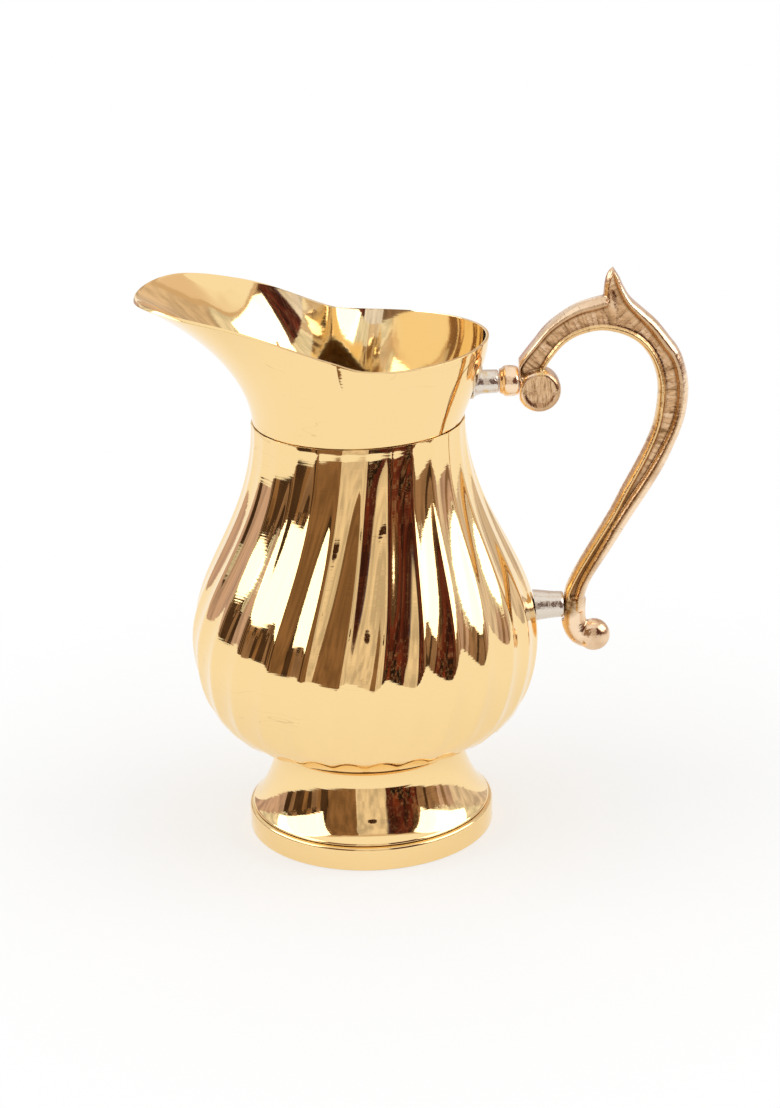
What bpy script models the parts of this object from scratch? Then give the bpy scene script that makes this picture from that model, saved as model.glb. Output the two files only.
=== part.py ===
# Brass jug with a fluted bowl, a pouring spout, a turned foot and a cast handle on two posts.
# Metres, +Z up. The spout points to -X and the handle to +X. The jug stands on Z = 0.

import math

import bmesh
import bpy
from mathutils import Matrix, Vector
from mathutils.geometry import interpolate_bezier

# Fits
CLEARANCE = 0.0003
SHEET = 0.0012
FOOT_SHEET = 0.0015

# Foot and its rim band
RIM_RADIUS = 0.0480
RIM_HEIGHT = 0.0095
RIM_WIDTH = 0.0040
RIM_TOP_ROUNDING = 0.0014
RIM_BASE_ROUNDING = 0.0006
FOOT_EDGE_HEIGHT = 0.0004
FOOT_EDGE_STEP = 0.0014
FOOT_WAIST_RADIUS = 0.0368
FOOT_WAIST_HEIGHT = 0.0345
CUP_RADIUS = 0.0566
CUP_HEIGHT = 0.0477
CUP_ANGLE = math.radians(45)

# Fluted bowl
BELLY_RADIUS = 0.0671
BELLY_HEIGHT = 0.0790
SHOULDER_HEIGHT = 0.1669
SHOULDER_RADIUS = 0.0406
BOWL_EDGE_STEP = 0.0003
BOWL_FLOOR_HEIGHT = 0.0383
FLUTE_COUNT = 28
FLUTE_DEPTH = 0.0010
FLUTE_TOP_DEPTH = 0.0003
FLUTE_END_SHARE = 0.35
FLUTE_FADE = 0.0600
FLUTE_PHASE = math.radians(-85.7)
FLUTE_SWIRL = math.radians(19.0)
RIDGE_SHARE = 0.24
SCALLOP_RISE = 0.0030
SCALLOP_FADE = 0.0120

# Neck and spout, whose skirt slips into the bowl; its lip rises above the bowl's shoulder
NECK_RADIUS = 0.0400
SKIRT_LENGTH = 0.0055
LIP_BACK_REACH = 0.0500
LIP_BACK_RISE = 0.0309
MOUTH_ANGLE = math.radians(83)
MOUTH_HALF_WIDTH = 0.0443
MOUTH_LIP_RISE = 0.0300
THROAT_HALF_WIDTH = 0.0408
THROAT_LIP_RISE = 0.0336
CHEEK_REACH = 0.0573
CHEEK_LIP_RISE = 0.0445
NOSE_REACH = 0.0745
NOSE_LIP_RISE = 0.0494
SPOUT_START = math.radians(95)
SPOUT_END = math.radians(155)
SPOUT_REACH = 0.0818
SPOUT_LIP_RISE = 0.0488

# Posts between the jug and its handle: the upper rises above the shoulder, the lower above the belly
UPPER_POST_RISE = 0.0121
UPPER_POST_LENGTH = 0.0088
UPPER_POST_RADIUS = 0.0044
UPPER_POST_FOOT_RADIUS = 0.0064
COLLAR_LENGTH = 0.0072
COLLAR_RADIUS = 0.0059
LOWER_POST_RISE = 0.0090
LOWER_POST_LENGTH = 0.0108
LOWER_POST_RADIUS = 0.0050
LOWER_POST_FOOT_RADIUS = 0.0060

# Handle
TERMINAL_RADIUS = 0.0082
TERMINAL_DROP = 0.0034
TERMINAL_HALF_WIDTH = 0.0058
HANDLE_SEAT_DEPTH = 0.0008
HANDLE_RISE = 0.0286
HANDLE_BOW = 0.0503
HANDLE_LEAN = 0.0055
HANDLE_WIDTH = 0.0098
HANDLE_DEPTH = 0.0127
HANDLE_TAIL_DEPTH = 0.0088
SPUR_HEIGHT = 0.0174
SPUR_WIDTH = 0.0085
SPUR_DEPTH = 0.0190
CURL_RADIUS = 0.0066
CURL_REACH = 0.0076
CURL_DROP = 0.0136
CURL_HALF_WIDTH = 0.0054
BUTTON_ROUNDING = 0.7

# Pulls of the smooth curves: the share of a stretch over which its end's direction holds
SHOULDER_PULL = 0.44
BELLY_UPPER_PULL = 0.32
BELLY_LOWER_PULL = 0.42
LEDGE_PULL = 0.19
CUP_EDGE_PULL = 0.67
CUP_WAIST_PULL = 0.20
FOOT_WAIST_PULL = 0.315
FOOT_FLARE_PULL = (0.52, 0.155)
NECK_BASE_PULL = {"back": (0.35, 0.32), "mouth": (0.28, 0.32), "spout": (0.02, 0.37)}
NECK_LIP_PULL = {"back": (0.05, 0.32), "mouth": (0.45, 0.32), "spout": (0.57, 0.25)}

# The thumb spur's outline: rise, depth and lean as shares of its height and depth
SPUR_OUTLINE = (
    (-0.25, 0.70, 0.10),
    (0.15, 0.74, 0.09),
    (0.34, 0.67, 0.09),
    (0.50, 0.48, 0.10),
    (0.64, 0.39, 0.07),
    (0.80, 0.31, 0.05),
    (0.92, 0.21, 0.05),
    (1.00, 0.08, 0.05),
)

# Fineness of the turned and swept shapes
FLUTE_FACETS = 4
ROUND_FACETS = 48
POST_FACETS = 24
SWEEP_STEPS = 3
SPUR_STEPS = 2
BEAD_FACETS = 4
SPUR_FACETS = 14
CUP_ROWS = 5
FLARE_ROWS = 6
RIM_STEPS = 3
WALL_ROWS = (8, 4)
WALL_MEASURE_ROWS = (24, 24)
NECK_ROWS = 8
SHARP_ANGLE = math.radians(40)
MERGE_DISTANCE = 0.000001

MATERIALS = {
    "polished_brass": ((0.90, 0.66, 0.30, 1.0), 0.12, 1.0),
    "turned_brass": ((0.88, 0.62, 0.26, 1.0), 0.16, 1.0),
    "cast_brass": ((0.78, 0.55, 0.33, 1.0), 0.28, 1.0),
    "tinned_brass": ((0.72, 0.62, 0.50, 1.0), 0.32, 1.0),
}


def clear_scene():
    for item in list(bpy.data.objects):
        bpy.data.objects.remove(item, do_unlink=True)


def make_material(name):
    colour, roughness, metallic = MATERIALS[name]
    material = bpy.data.materials.new(name)
    material.use_nodes = True
    shader = material.node_tree.nodes["Principled BSDF"]
    shader.inputs["Base Color"].default_value = colour
    shader.inputs["Roughness"].default_value = roughness
    shader.inputs["Metallic"].default_value = metallic
    return material


def add_object(name, mesh_builder, parent, material=None, location=(0, 0, 0)):
    mesh = bpy.data.meshes.new(name)
    mesh_builder.to_mesh(mesh)
    mesh_builder.free()
    if material is not None:
        mesh.materials.append(material)
    mesh.shade_smooth()
    mesh.set_sharp_from_angle(angle=SHARP_ANGLE)
    item = bpy.data.objects.new(name, mesh)
    item.location = location
    item.parent = parent
    bpy.context.collection.objects.link(item)
    return item


def hide_as_cutter(item):
    item.hide_render = True
    item.display_type = "WIRE"
    return item


def add_boolean(item, operation, tool):
    modifier = item.modifiers.new(operation.lower(), "BOOLEAN")
    modifier.operation = operation
    modifier.object = tool
    modifier.solver = "EXACT"


def add_thickness(item, thickness):
    modifier = item.modifiers.new("sheet", "SOLIDIFY")
    modifier.thickness = thickness
    modifier.offset = -1.0
    modifier.use_even_offset = True


def curve_points(start, start_handle, end_handle, end, count):
    """Points (radius, height) of one smooth stretch, its last point left to the next stretch."""
    knots = [Vector((point[0], point[1], 0)) for point in (start, start_handle, end_handle, end)]
    points = interpolate_bezier(knots[0], knots[1], knots[2], knots[3], count + 1)
    return [(point.x, point.y) for point in points[:-1]]


def spin_skin(profile, facets, axis=(0, 0, 1)):
    """Turn an open or closed chain of (radius, height) points about an axis."""
    builder = bmesh.new()
    if axis[2]:
        corners = [builder.verts.new((radius, 0, height)) for radius, height in profile]
    else:
        corners = [builder.verts.new((height, 0, radius)) for radius, height in profile]
    for first, second in zip(corners, corners[1:]):
        builder.edges.new((first, second))
    bmesh.ops.spin(
        builder,
        geom=builder.verts[:] + builder.edges[:],
        cent=(0, 0, 0),
        axis=axis,
        angle=math.tau,
        steps=facets,
        use_merge=True,
    )
    bmesh.ops.remove_doubles(builder, verts=builder.verts, dist=MERGE_DISTANCE)
    bmesh.ops.recalc_face_normals(builder, faces=builder.faces)
    if axis[2]:
        face_outward(builder)
    return builder


def face_outward(builder):
    """Turn a skin spun about Z so that on the whole its faces look away from the axis."""
    outward = 0.0
    for face in builder.faces:
        middle = face.calc_center_median()
        outward += face.calc_area() * (face.normal.x * middle.x + face.normal.y * middle.y)
    if outward < 0:
        bmesh.ops.reverse_faces(builder, faces=builder.faces[:])


def smooth_step(value):
    value = min(1.0, max(0.0, value))
    return value * value * (3 - 2 * value)


def mix(first, second, share):
    return first + (second - first) * share


def through_stations(stations, position):
    """Read a smooth curve through rows (position, value, value...) with level ends."""
    index = 0
    while index < len(stations) - 2 and position > stations[index + 1][0]:
        index += 1
    here, there = stations[index], stations[index + 1]
    span = there[0] - here[0]
    share = (position - here[0]) / span
    result = []
    for column in range(1, len(here)):
        slopes = []
        for knot in (index, index + 1):
            if 0 < knot < len(stations) - 1:
                before, after = stations[knot - 1], stations[knot + 1]
                slopes.append((after[column] - before[column]) / (after[0] - before[0]))
            else:
                slopes.append(0.0)
        result.append(
            (2 * share**3 - 3 * share**2 + 1) * here[column]
            + (share**3 - 2 * share**2 + share) * span * slopes[0]
            + (3 * share**2 - 2 * share**3) * there[column]
            + (share**3 - share**2) * span * slopes[1]
        )
    return result


# The bowl

def bowl_edge(inward):
    """Point of the bowl's edge face, just off the cup's edge: inward runs down into the cup."""
    lean, climb = math.sin(CUP_ANGLE), math.cos(CUP_ANGLE)
    return (CUP_RADIUS + CLEARANCE * climb - inward * lean, CUP_HEIGHT + CLEARANCE * lean + inward * climb)


def bowl_ledge_height():
    """Height of the outer edge where the flutes end, just over the cup's edge."""
    return bowl_edge(-BOWL_EDGE_STEP)[1]


def bowl_wall(rows_above, rows_below):
    """Crest line of the fluted wall, from the shoulder down to its edge at the cup."""
    ledge = bowl_edge(-BOWL_EDGE_STEP)
    rise = SHOULDER_HEIGHT - BELLY_HEIGHT
    drop = BELLY_HEIGHT - ledge[1]
    upper = curve_points(
        (SHOULDER_RADIUS, SHOULDER_HEIGHT),
        (SHOULDER_RADIUS, SHOULDER_HEIGHT - SHOULDER_PULL * rise),
        (BELLY_RADIUS, BELLY_HEIGHT + BELLY_UPPER_PULL * rise),
        (BELLY_RADIUS, BELLY_HEIGHT),
        rows_above,
    )
    lower = curve_points(
        (BELLY_RADIUS, BELLY_HEIGHT),
        (BELLY_RADIUS, BELLY_HEIGHT - BELLY_LOWER_PULL * drop),
        (ledge[0] + LEDGE_PULL * drop, ledge[1] + LEDGE_PULL * drop),
        ledge,
        rows_below,
    )
    return upper + lower + [ledge]


def cup_curve(rows):
    """Outer line of the foot's cup, from its edge down to the waist."""
    rise = CUP_HEIGHT - FOOT_WAIST_HEIGHT
    reach = CUP_EDGE_PULL * rise * math.sin(CUP_ANGLE)
    return curve_points(
        (CUP_RADIUS, CUP_HEIGHT),
        (CUP_RADIUS - reach, CUP_HEIGHT - reach),
        (FOOT_WAIST_RADIUS, FOOT_WAIST_HEIGHT + CUP_WAIST_PULL * rise),
        (FOOT_WAIST_RADIUS, FOOT_WAIST_HEIGHT),
        rows,
    )


def bowl_underside():
    """Plain dish that follows the cup's inside, then the bowl's flat floor."""
    lift = FOOT_SHEET + CLEARANCE
    cup = cup_curve(CUP_ROWS)
    dish = [bowl_edge(lift)]
    for before, here, after in zip(cup, cup[1:], cup[2:]):
        along = Vector((before[0] - after[0], before[1] - after[1])).normalized()
        spot = (here[0] - lift * along.y, here[1] + lift * along.x)
        if spot[1] > BOWL_FLOOR_HEIGHT + SHEET:
            dish.append(spot)
    floor_radius = dish[-1][0] - (dish[-1][1] - BOWL_FLOOR_HEIGHT) - SHEET
    return dish + [(floor_radius, BOWL_FLOOR_HEIGHT), (0.0, BOWL_FLOOR_HEIGHT)]


def flute_turn(height):
    """Angle that the flutes have swirled through on their way down to a height."""
    return FLUTE_SWIRL * (SHOULDER_HEIGHT - height) / (SHOULDER_HEIGHT - bowl_ledge_height())


def hollow_share(angle, height):
    """1 in the middle of a flute's hollow, 0 on the rounded ridge between two flutes."""
    place = ((angle - FLUTE_PHASE + flute_turn(height)) * FLUTE_COUNT / math.tau) % 1.0
    across = 2 * abs(place - 0.5)
    if across < 1 - RIDGE_SHARE:
        return 1 - across * across / (1 - RIDGE_SHARE)
    return (1 - across) ** 2 / RIDGE_SHARE


def flute_drop(angle, height):
    """How far the surface lies inside the ridge line at an angle and height."""
    fade = smooth_step((SHOULDER_HEIGHT - height) / FLUTE_FADE)
    end = smooth_step((height - bowl_ledge_height()) / SCALLOP_FADE)
    depth = mix(FLUTE_TOP_DEPTH, FLUTE_DEPTH, fade) * mix(FLUTE_END_SHARE, 1.0, end)
    return depth * hollow_share(angle, height)


def is_on_wall(radius, height):
    """True on the fluted wall, False on the dish within the cup and on the foot."""
    above_dish = height > bowl_edge(FOOT_SHEET + CLEARANCE)[1] + MERGE_DISTANCE
    beyond_cup = radius - CUP_RADIUS > height - CUP_HEIGHT + CLEARANCE / 2
    return above_dish or (beyond_cup and height > CUP_HEIGHT - CLEARANCE)


def follow_flutes(builder, grow=0.0):
    """Swirl a spun skin's rows, press the flutes into the wall and wave the joint with the cup."""
    ledge = bowl_ledge_height()
    for corner in builder.verts:
        radius = math.hypot(corner.co.x, corner.co.y)
        on_wall = is_on_wall(radius, corner.co.z)
        height = min(max(corner.co.z, ledge), SHOULDER_HEIGHT) if on_wall else ledge
        angle = math.atan2(corner.co.y, corner.co.x) + FLUTE_PHASE - flute_turn(height)
        beyond, above = radius - CUP_RADIUS, corner.co.z - CUP_HEIGHT
        from_joint = beyond * math.sin(CUP_ANGLE) + above * math.cos(CUP_ANGLE)
        near = smooth_step(1 - abs(from_joint) / SCALLOP_FADE)
        shift = SCALLOP_RISE * near * (hollow_share(angle, height) - 0.5)
        if on_wall:
            radius += grow - flute_drop(angle, height)
        radius += shift
        corner.co = Vector((radius * math.cos(angle), radius * math.sin(angle), corner.co.z + shift))
    return builder


def make_bowl(parent, material):
    profile = bowl_wall(*WALL_ROWS) + bowl_underside()
    builder = follow_flutes(spin_skin(profile, FLUTE_COUNT * FLUTE_FACETS))
    bowl = add_object("fluted_bowl", builder, parent, material)
    add_thickness(bowl, SHEET)
    return bowl


def bowl_reach(height):
    """Crest radius of the bowl's wall at a height."""
    wall = bowl_wall(*WALL_MEASURE_ROWS)
    for upper, lower in zip(wall, wall[1:]):
        if lower[1] <= height <= upper[1]:
            return mix(lower[0], upper[0], (height - lower[1]) / (upper[1] - lower[1]))
    return BELLY_RADIUS


# The neck and its spout

def lip_stations():
    """The lip's reach and its rise over the shoulder, from the handle's side to the spout's tip."""
    return [
        (math.radians(0), LIP_BACK_REACH, LIP_BACK_RISE),
        (math.radians(45), mix(MOUTH_HALF_WIDTH, LIP_BACK_REACH, 0.5), MOUTH_LIP_RISE),
        (MOUTH_ANGLE, MOUTH_HALF_WIDTH, MOUTH_LIP_RISE),
        (math.radians(106), THROAT_HALF_WIDTH, THROAT_LIP_RISE),
        (math.radians(138), CHEEK_REACH, CHEEK_LIP_RISE),
        (math.radians(157), NOSE_REACH, NOSE_LIP_RISE),
        (math.radians(180), SPOUT_REACH, SPOUT_LIP_RISE),
    ]


def neck_base_height():
    return SHOULDER_HEIGHT + CLEARANCE


def blend_pulls(pulls, beside, pour):
    """The neck curve's pulls between the handle's side, the mouth's sides and the spout."""
    rows = zip(pulls["back"], pulls["mouth"], pulls["spout"])
    return [mix(mix(back, mouth, beside), spout, pour) for back, mouth, spout in rows]


def neck_point(angle, share, grow=0.0):
    """A point of the neck's outer surface: share runs from its base to the lip."""
    turn = abs(math.remainder(angle, math.tau))
    reach, lip_rise = through_stations(lip_stations(), turn)
    base = neck_base_height()
    height = SHOULDER_HEIGHT + lip_rise
    flare = reach - NECK_RADIUS
    rise = height - base
    pour = smooth_step((turn - SPOUT_START) / (SPOUT_END - SPOUT_START))
    beside = smooth_step(1 - abs(turn - MOUTH_ANGLE) / MOUTH_ANGLE)
    low_out, low_up = blend_pulls(NECK_BASE_PULL, beside, pour)
    high_in, high_down = blend_pulls(NECK_LIP_PULL, beside, pour)
    low = (NECK_RADIUS + flare * low_out, base + rise * low_up)
    high = (reach - flare * high_in, height - rise * high_down)
    rest = 1 - share
    weights = (rest**3, 3 * share * rest**2, 3 * share**2 * rest, share**3)
    radius = sum(w * r for w, r in zip(weights, (NECK_RADIUS, low[0], high[0], reach)))
    level = sum(w * z for w, z in zip(weights, (base, low[1], high[1], height)))
    radius += grow
    return Vector((radius * math.cos(angle), radius * math.sin(angle), level))


def neck_reach(height):
    """Radius of the neck on the handle's side at a height."""
    low, high = 0.0, 1.0
    for _ in range(40):
        middle = (low + high) / 2
        if neck_point(0.0, middle).z < height:
            low = middle
        else:
            high = middle
    return neck_point(0.0, low).x


def spin_neck_skin(below, rows, grow=0.0):
    """Spin a plain tube over rows of even spacing and move each row onto the neck's form."""
    base = neck_base_height()
    chain = below + [(NECK_RADIUS + grow, base + index / rows) for index in range(rows, -1, -1)]
    chain.sort(key=lambda point: (-point[1], -point[0]))
    builder = spin_skin(chain, ROUND_FACETS)
    for corner in builder.verts:
        if corner.co.z > base + CLEARANCE:
            angle = math.atan2(corner.co.y, corner.co.x)
            corner.co = neck_point(angle, corner.co.z - base, grow)
    return builder


def fill_neck(grow):
    """The neck's outer form as a solid, its mouth closed by a fan to a point on the axis."""
    builder = spin_neck_skin([], NECK_ROWS, grow)
    middle = SHOULDER_HEIGHT + MOUTH_LIP_RISE / 2
    rim = [edge for edge in builder.edges if edge.is_boundary and edge.verts[0].co.z > middle]
    fan = bmesh.ops.extrude_edge_only(builder, edges=rim)["geom"]
    tips = [item for item in fan if isinstance(item, bmesh.types.BMVert)]
    bmesh.ops.pointmerge(builder, verts=tips, merge_co=(0, 0, SHOULDER_HEIGHT + MOUTH_LIP_RISE))
    bmesh.ops.holes_fill(builder, edges=builder.edges, sides=0)
    bmesh.ops.recalc_face_normals(builder, faces=builder.faces)
    return builder


def make_neck(parent, material):
    base = neck_base_height()
    skirt = SHOULDER_RADIUS - SHEET - FLUTE_TOP_DEPTH - CLEARANCE
    below = [(skirt, base), (skirt, base - CLEARANCE - SKIRT_LENGTH)]
    neck = add_object("neck_and_spout", spin_neck_skin(below, NECK_ROWS), parent, material)
    add_thickness(neck, SHEET)
    return neck


# The foot and its rim band

def make_foot(parent, material):
    band_top = RIM_HEIGHT + CLEARANCE
    edge_top = band_top + FOOT_EDGE_HEIGHT
    waist_rise = FOOT_WAIST_HEIGHT - edge_top
    edge_radius = RIM_RADIUS - FOOT_EDGE_STEP
    out, up = FOOT_FLARE_PULL
    flare = curve_points(
        (FOOT_WAIST_RADIUS, FOOT_WAIST_HEIGHT),
        (FOOT_WAIST_RADIUS, FOOT_WAIST_HEIGHT - FOOT_WAIST_PULL * waist_rise),
        (mix(FOOT_WAIST_RADIUS, edge_radius, out), edge_top + up * waist_rise),
        (edge_radius, edge_top),
        FLARE_ROWS,
    )
    profile = cup_curve(CUP_ROWS) + flare + [(edge_radius, edge_top), (edge_radius, band_top)]
    builder = follow_flutes(spin_skin(profile, FLUTE_COUNT * FLUTE_FACETS))
    foot = add_object("foot", builder, parent, material)
    add_thickness(foot, FOOT_SHEET)
    return foot


def make_rim_band(parent, material):
    inner = RIM_RADIUS - RIM_WIDTH
    profile = [(inner, RIM_HEIGHT)]
    for step in range(RIM_STEPS + 1):
        turn = math.radians(90) * step / RIM_STEPS
        inset, sunk = 1 - math.sin(turn), 1 - math.cos(turn)
        profile.append((RIM_RADIUS - RIM_TOP_ROUNDING * inset, RIM_HEIGHT - RIM_TOP_ROUNDING * sunk))
    profile += [
        (RIM_RADIUS, RIM_BASE_ROUNDING),
        (RIM_RADIUS - RIM_BASE_ROUNDING, 0.0),
        (inner, 0.0),
        (inner, RIM_HEIGHT),
    ]
    return add_object("foot_rim_band", spin_skin(profile, ROUND_FACETS), parent, material)


# The handle

def two_lobed_section(depth, width):
    """Outline of the bar: a wide outer bead and a slimmer inner one, with a groove between."""
    outer = (0.19 * depth, 0.31 * depth, 0.50 * width)
    inner = (-0.25 * depth, 0.25 * depth, 0.41 * width)
    side = []
    for middle, tall, wide, start, stop in (
        (*outer, 0, 125),
        (*inner, 50, 180),
    ):
        for index in range(BEAD_FACETS + 1):
            turn = math.radians(mix(start, stop, index / BEAD_FACETS))
            side.append((middle + tall * math.cos(turn), wide * math.sin(turn)))
    mirrored = [(across, -out) for across, out in reversed(side[1:-1])]
    return side + mirrored


def oval_section(depth, width):
    turns = [math.tau * index / SPUR_FACETS for index in range(SPUR_FACETS)]
    return [(0.5 * depth * math.cos(turn), 0.5 * width * math.sin(turn)) for turn in turns]


def sweep_bar(stations, section, steps):
    """Carry a section along stations (x, z, depth, width) in the jug's middle plane."""
    rows = [(index, *station) for index, station in enumerate(stations)]
    count = (len(stations) - 1) * steps
    spots = [through_stations(rows, index / steps) for index in range(count + 1)]
    builder = bmesh.new()
    rings = []
    for index, (x, z, depth, width) in enumerate(spots):
        before, after = spots[max(index - 1, 0)], spots[min(index + 1, count)]
        along = Vector((after[0] - before[0], 0, after[1] - before[1])).normalized()
        outward = Vector((-along.z, 0, along.x))
        centre = Vector((x, 0, z))
        ring = [
            builder.verts.new(centre + outward * across + Vector((0, out, 0)))
            for across, out in section(depth, width)
        ]
        rings.append(ring)
    for first, second in zip(rings, rings[1:]):
        for index in range(len(first)):
            follow = (index + 1) % len(first)
            builder.faces.new((first[index], first[follow], second[follow], second[index]))
    builder.faces.new(rings[0])
    builder.faces.new(rings[-1])
    bmesh.ops.recalc_face_normals(builder, faces=builder.faces)
    return builder


def make_button(name, parent, centre, radius, half_width):
    """A flattened ball, turned about the Y axis: a guide joined to the handle."""
    rounding = BUTTON_ROUNDING * half_width
    profile = [(0.0, half_width), (radius - rounding, half_width)]
    for degrees in (30, 60, 90):
        turn = math.radians(degrees)
        profile.append(
            (
                radius - rounding + rounding * math.sin(turn),
                half_width - rounding + rounding * math.cos(turn),
            )
        )
    profile += [(reach, -level) for reach, level in reversed(profile)]
    builder = spin_skin(profile, POST_FACETS)
    bmesh.ops.rotate(
        builder,
        verts=builder.verts,
        cent=(0, 0, 0),
        matrix=Matrix.Rotation(math.radians(90), 3, "X"),
    )
    return hide_as_cutter(add_object(name, builder, parent, location=centre))


def upper_post_height():
    return SHOULDER_HEIGHT + UPPER_POST_RISE


def lower_post_height():
    return BELLY_HEIGHT + LOWER_POST_RISE


def terminal_centre():
    """Middle of the ball at the handle's upper end, seated against the collar."""
    seat = neck_reach(upper_post_height()) + UPPER_POST_LENGTH + COLLAR_LENGTH + CLEARANCE
    return Vector((seat - HANDLE_SEAT_DEPTH + TERMINAL_RADIUS, 0, upper_post_height() - TERMINAL_DROP))


def tail_seat():
    """Where the lower post's end meets the handle."""
    return Vector((bowl_reach(lower_post_height()) + LOWER_POST_LENGTH + CLEARANCE, 0, lower_post_height()))


def bar_tail_x():
    """Middle of the slim bar where the lower post meets it."""
    return tail_seat().x - HANDLE_SEAT_DEPTH + HANDLE_TAIL_DEPTH / 2


def handle_stations():
    """The bar's middle line, from the ball over the crown and down to the curl."""
    top = terminal_centre()
    seat = tail_seat()
    tail_x = bar_tail_x()
    bow_x = top.x + HANDLE_BOW
    back_x = bow_x - HANDLE_LEAN
    crown_x = mix(top.x, bow_x, 0.52)
    fall = top.z - seat.z
    full, slim, wide = HANDLE_DEPTH, HANDLE_TAIL_DEPTH, HANDLE_WIDTH
    out_of_ball = [
        (top.x - 0.24 * TERMINAL_RADIUS, top.z + 0.4 * TERMINAL_RADIUS, 0.80 * full, 0.92 * wide),
        (top.x - 0.22 * TERMINAL_RADIUS, top.z + 1.5 * TERMINAL_RADIUS, 0.84 * full, 0.92 * wide),
    ]
    over_crown = [
        (mix(top.x, crown_x, 0.25), top.z + 0.76 * HANDLE_RISE, 0.94 * full, wide),
        (crown_x, top.z + HANDLE_RISE, 1.08 * full, wide),
        (mix(crown_x, bow_x, 0.62), top.z + 0.68 * HANDLE_RISE, 1.04 * full, wide),
    ]
    down_back = [
        (bow_x, top.z - 0.055 * fall, full, wide),
        (back_x, seat.z + 0.71 * fall, 0.96 * full, wide),
        (mix(tail_x, back_x, 0.51), seat.z + 0.40 * fall, mix(slim, full, 0.45), wide),
        (mix(tail_x, bow_x, 0.055), seat.z + 0.115 * fall, slim, 0.92 * wide),
    ]
    into_curl = [
        (tail_x, seat.z, slim, 0.92 * wide),
        (tail_x - 0.10 * CURL_REACH, seat.z - 0.51 * CURL_DROP, slim, 0.94 * wide),
        (tail_x + 0.20 * CURL_REACH, seat.z - 0.94 * CURL_DROP, slim, 0.96 * wide),
        (tail_x + 0.75 * CURL_REACH, seat.z - 1.06 * CURL_DROP, 0.8 * slim, 0.96 * wide),
    ]
    return out_of_ball + over_crown + down_back + into_curl


def spur_stations(crown_x, crown_z):
    """The thumb spur, from inside the crown up to its blunt point."""
    return [
        (
            crown_x + lean * SPUR_DEPTH,
            crown_z + rise * SPUR_HEIGHT,
            depth * SPUR_DEPTH,
            SPUR_WIDTH * min(1.0, 0.25 + 1.1 * depth),
        )
        for rise, depth, lean in SPUR_OUTLINE
    ]


def cut_flat_seat(handle, name, parent, x, height, radius):
    """Cut the flat against which a post's end sits."""
    length = 4 * HANDLE_SEAT_DEPTH + TERMINAL_RADIUS
    profile = [(0.0, x), (radius, x), (radius, x - length), (0.0, x - length)]
    builder = spin_skin(profile, POST_FACETS, axis=(1, 0, 0))
    cutter = hide_as_cutter(add_object(name, builder, parent, location=(0, 0, height)))
    add_boolean(handle, "DIFFERENCE", cutter)


def make_handle(parent, material):
    stations = handle_stations()
    handle = add_object("handle", sweep_bar(stations, two_lobed_section, SWEEP_STEPS), parent, material)
    ball = make_button(
        "handle_ball_guide", parent, terminal_centre(), TERMINAL_RADIUS, TERMINAL_HALF_WIDTH
    )
    seat = tail_seat()
    curl = make_button(
        "handle_curl_guide",
        parent,
        Vector((bar_tail_x() + CURL_REACH, 0, seat.z - CURL_DROP)),
        CURL_RADIUS,
        CURL_HALF_WIDTH,
    )
    crown_x, crown_z = max(stations, key=lambda station: station[1])[:2]
    spur_skin = sweep_bar(spur_stations(crown_x, crown_z), oval_section, SPUR_STEPS)
    spur = hide_as_cutter(add_object("handle_spur_guide", spur_skin, parent))
    for tool in (ball, curl, spur):
        add_boolean(handle, "UNION", tool)
    upper_seat = terminal_centre().x - TERMINAL_RADIUS + HANDLE_SEAT_DEPTH
    cut_flat_seat(
        handle, "upper_seat_cut", parent, upper_seat, upper_post_height(), COLLAR_RADIUS + CLEARANCE
    )
    cut_flat_seat(
        handle, "lower_seat_cut", parent, seat.x, seat.z, LOWER_POST_RADIUS + CLEARANCE
    )
    return handle


# The posts that carry the handle

def turn_post(name, parent, material, profile, height):
    builder = spin_skin(profile, POST_FACETS, axis=(1, 0, 0))
    return add_object(name, builder, parent, material, location=(0, 0, height))


def make_upper_post(parent, material):
    wall = neck_reach(upper_post_height())
    end = wall + UPPER_POST_LENGTH - CLEARANCE
    root = wall - UPPER_POST_FOOT_RADIUS
    profile = [
        (0.0, end),
        (UPPER_POST_RADIUS, end),
        (1.05 * UPPER_POST_RADIUS, wall + 0.5 * UPPER_POST_LENGTH),
        (mix(UPPER_POST_RADIUS, UPPER_POST_FOOT_RADIUS, 0.45), wall + 0.2 * UPPER_POST_LENGTH),
        (UPPER_POST_FOOT_RADIUS, wall - 0.1 * UPPER_POST_LENGTH),
        (UPPER_POST_FOOT_RADIUS, root),
        (0.0, root),
    ]
    post = turn_post("upper_post", parent, material, profile, upper_post_height())
    plug = hide_as_cutter(add_object("neck_plug", fill_neck(CLEARANCE), parent))
    add_boolean(post, "DIFFERENCE", plug)
    return post


def make_collar(parent, material):
    start = neck_reach(upper_post_height()) + UPPER_POST_LENGTH
    end = start + COLLAR_LENGTH
    profile = [
        (0.0, end),
        (0.84 * COLLAR_RADIUS, end),
        (COLLAR_RADIUS, end - 0.18 * COLLAR_LENGTH),
        (COLLAR_RADIUS, end - 0.62 * COLLAR_LENGTH),
        (0.90 * COLLAR_RADIUS, end - 0.80 * COLLAR_LENGTH),
        (0.78 * COLLAR_RADIUS, start),
        (0.0, start),
    ]
    return turn_post("upper_post_collar", parent, material, profile, upper_post_height())


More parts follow.
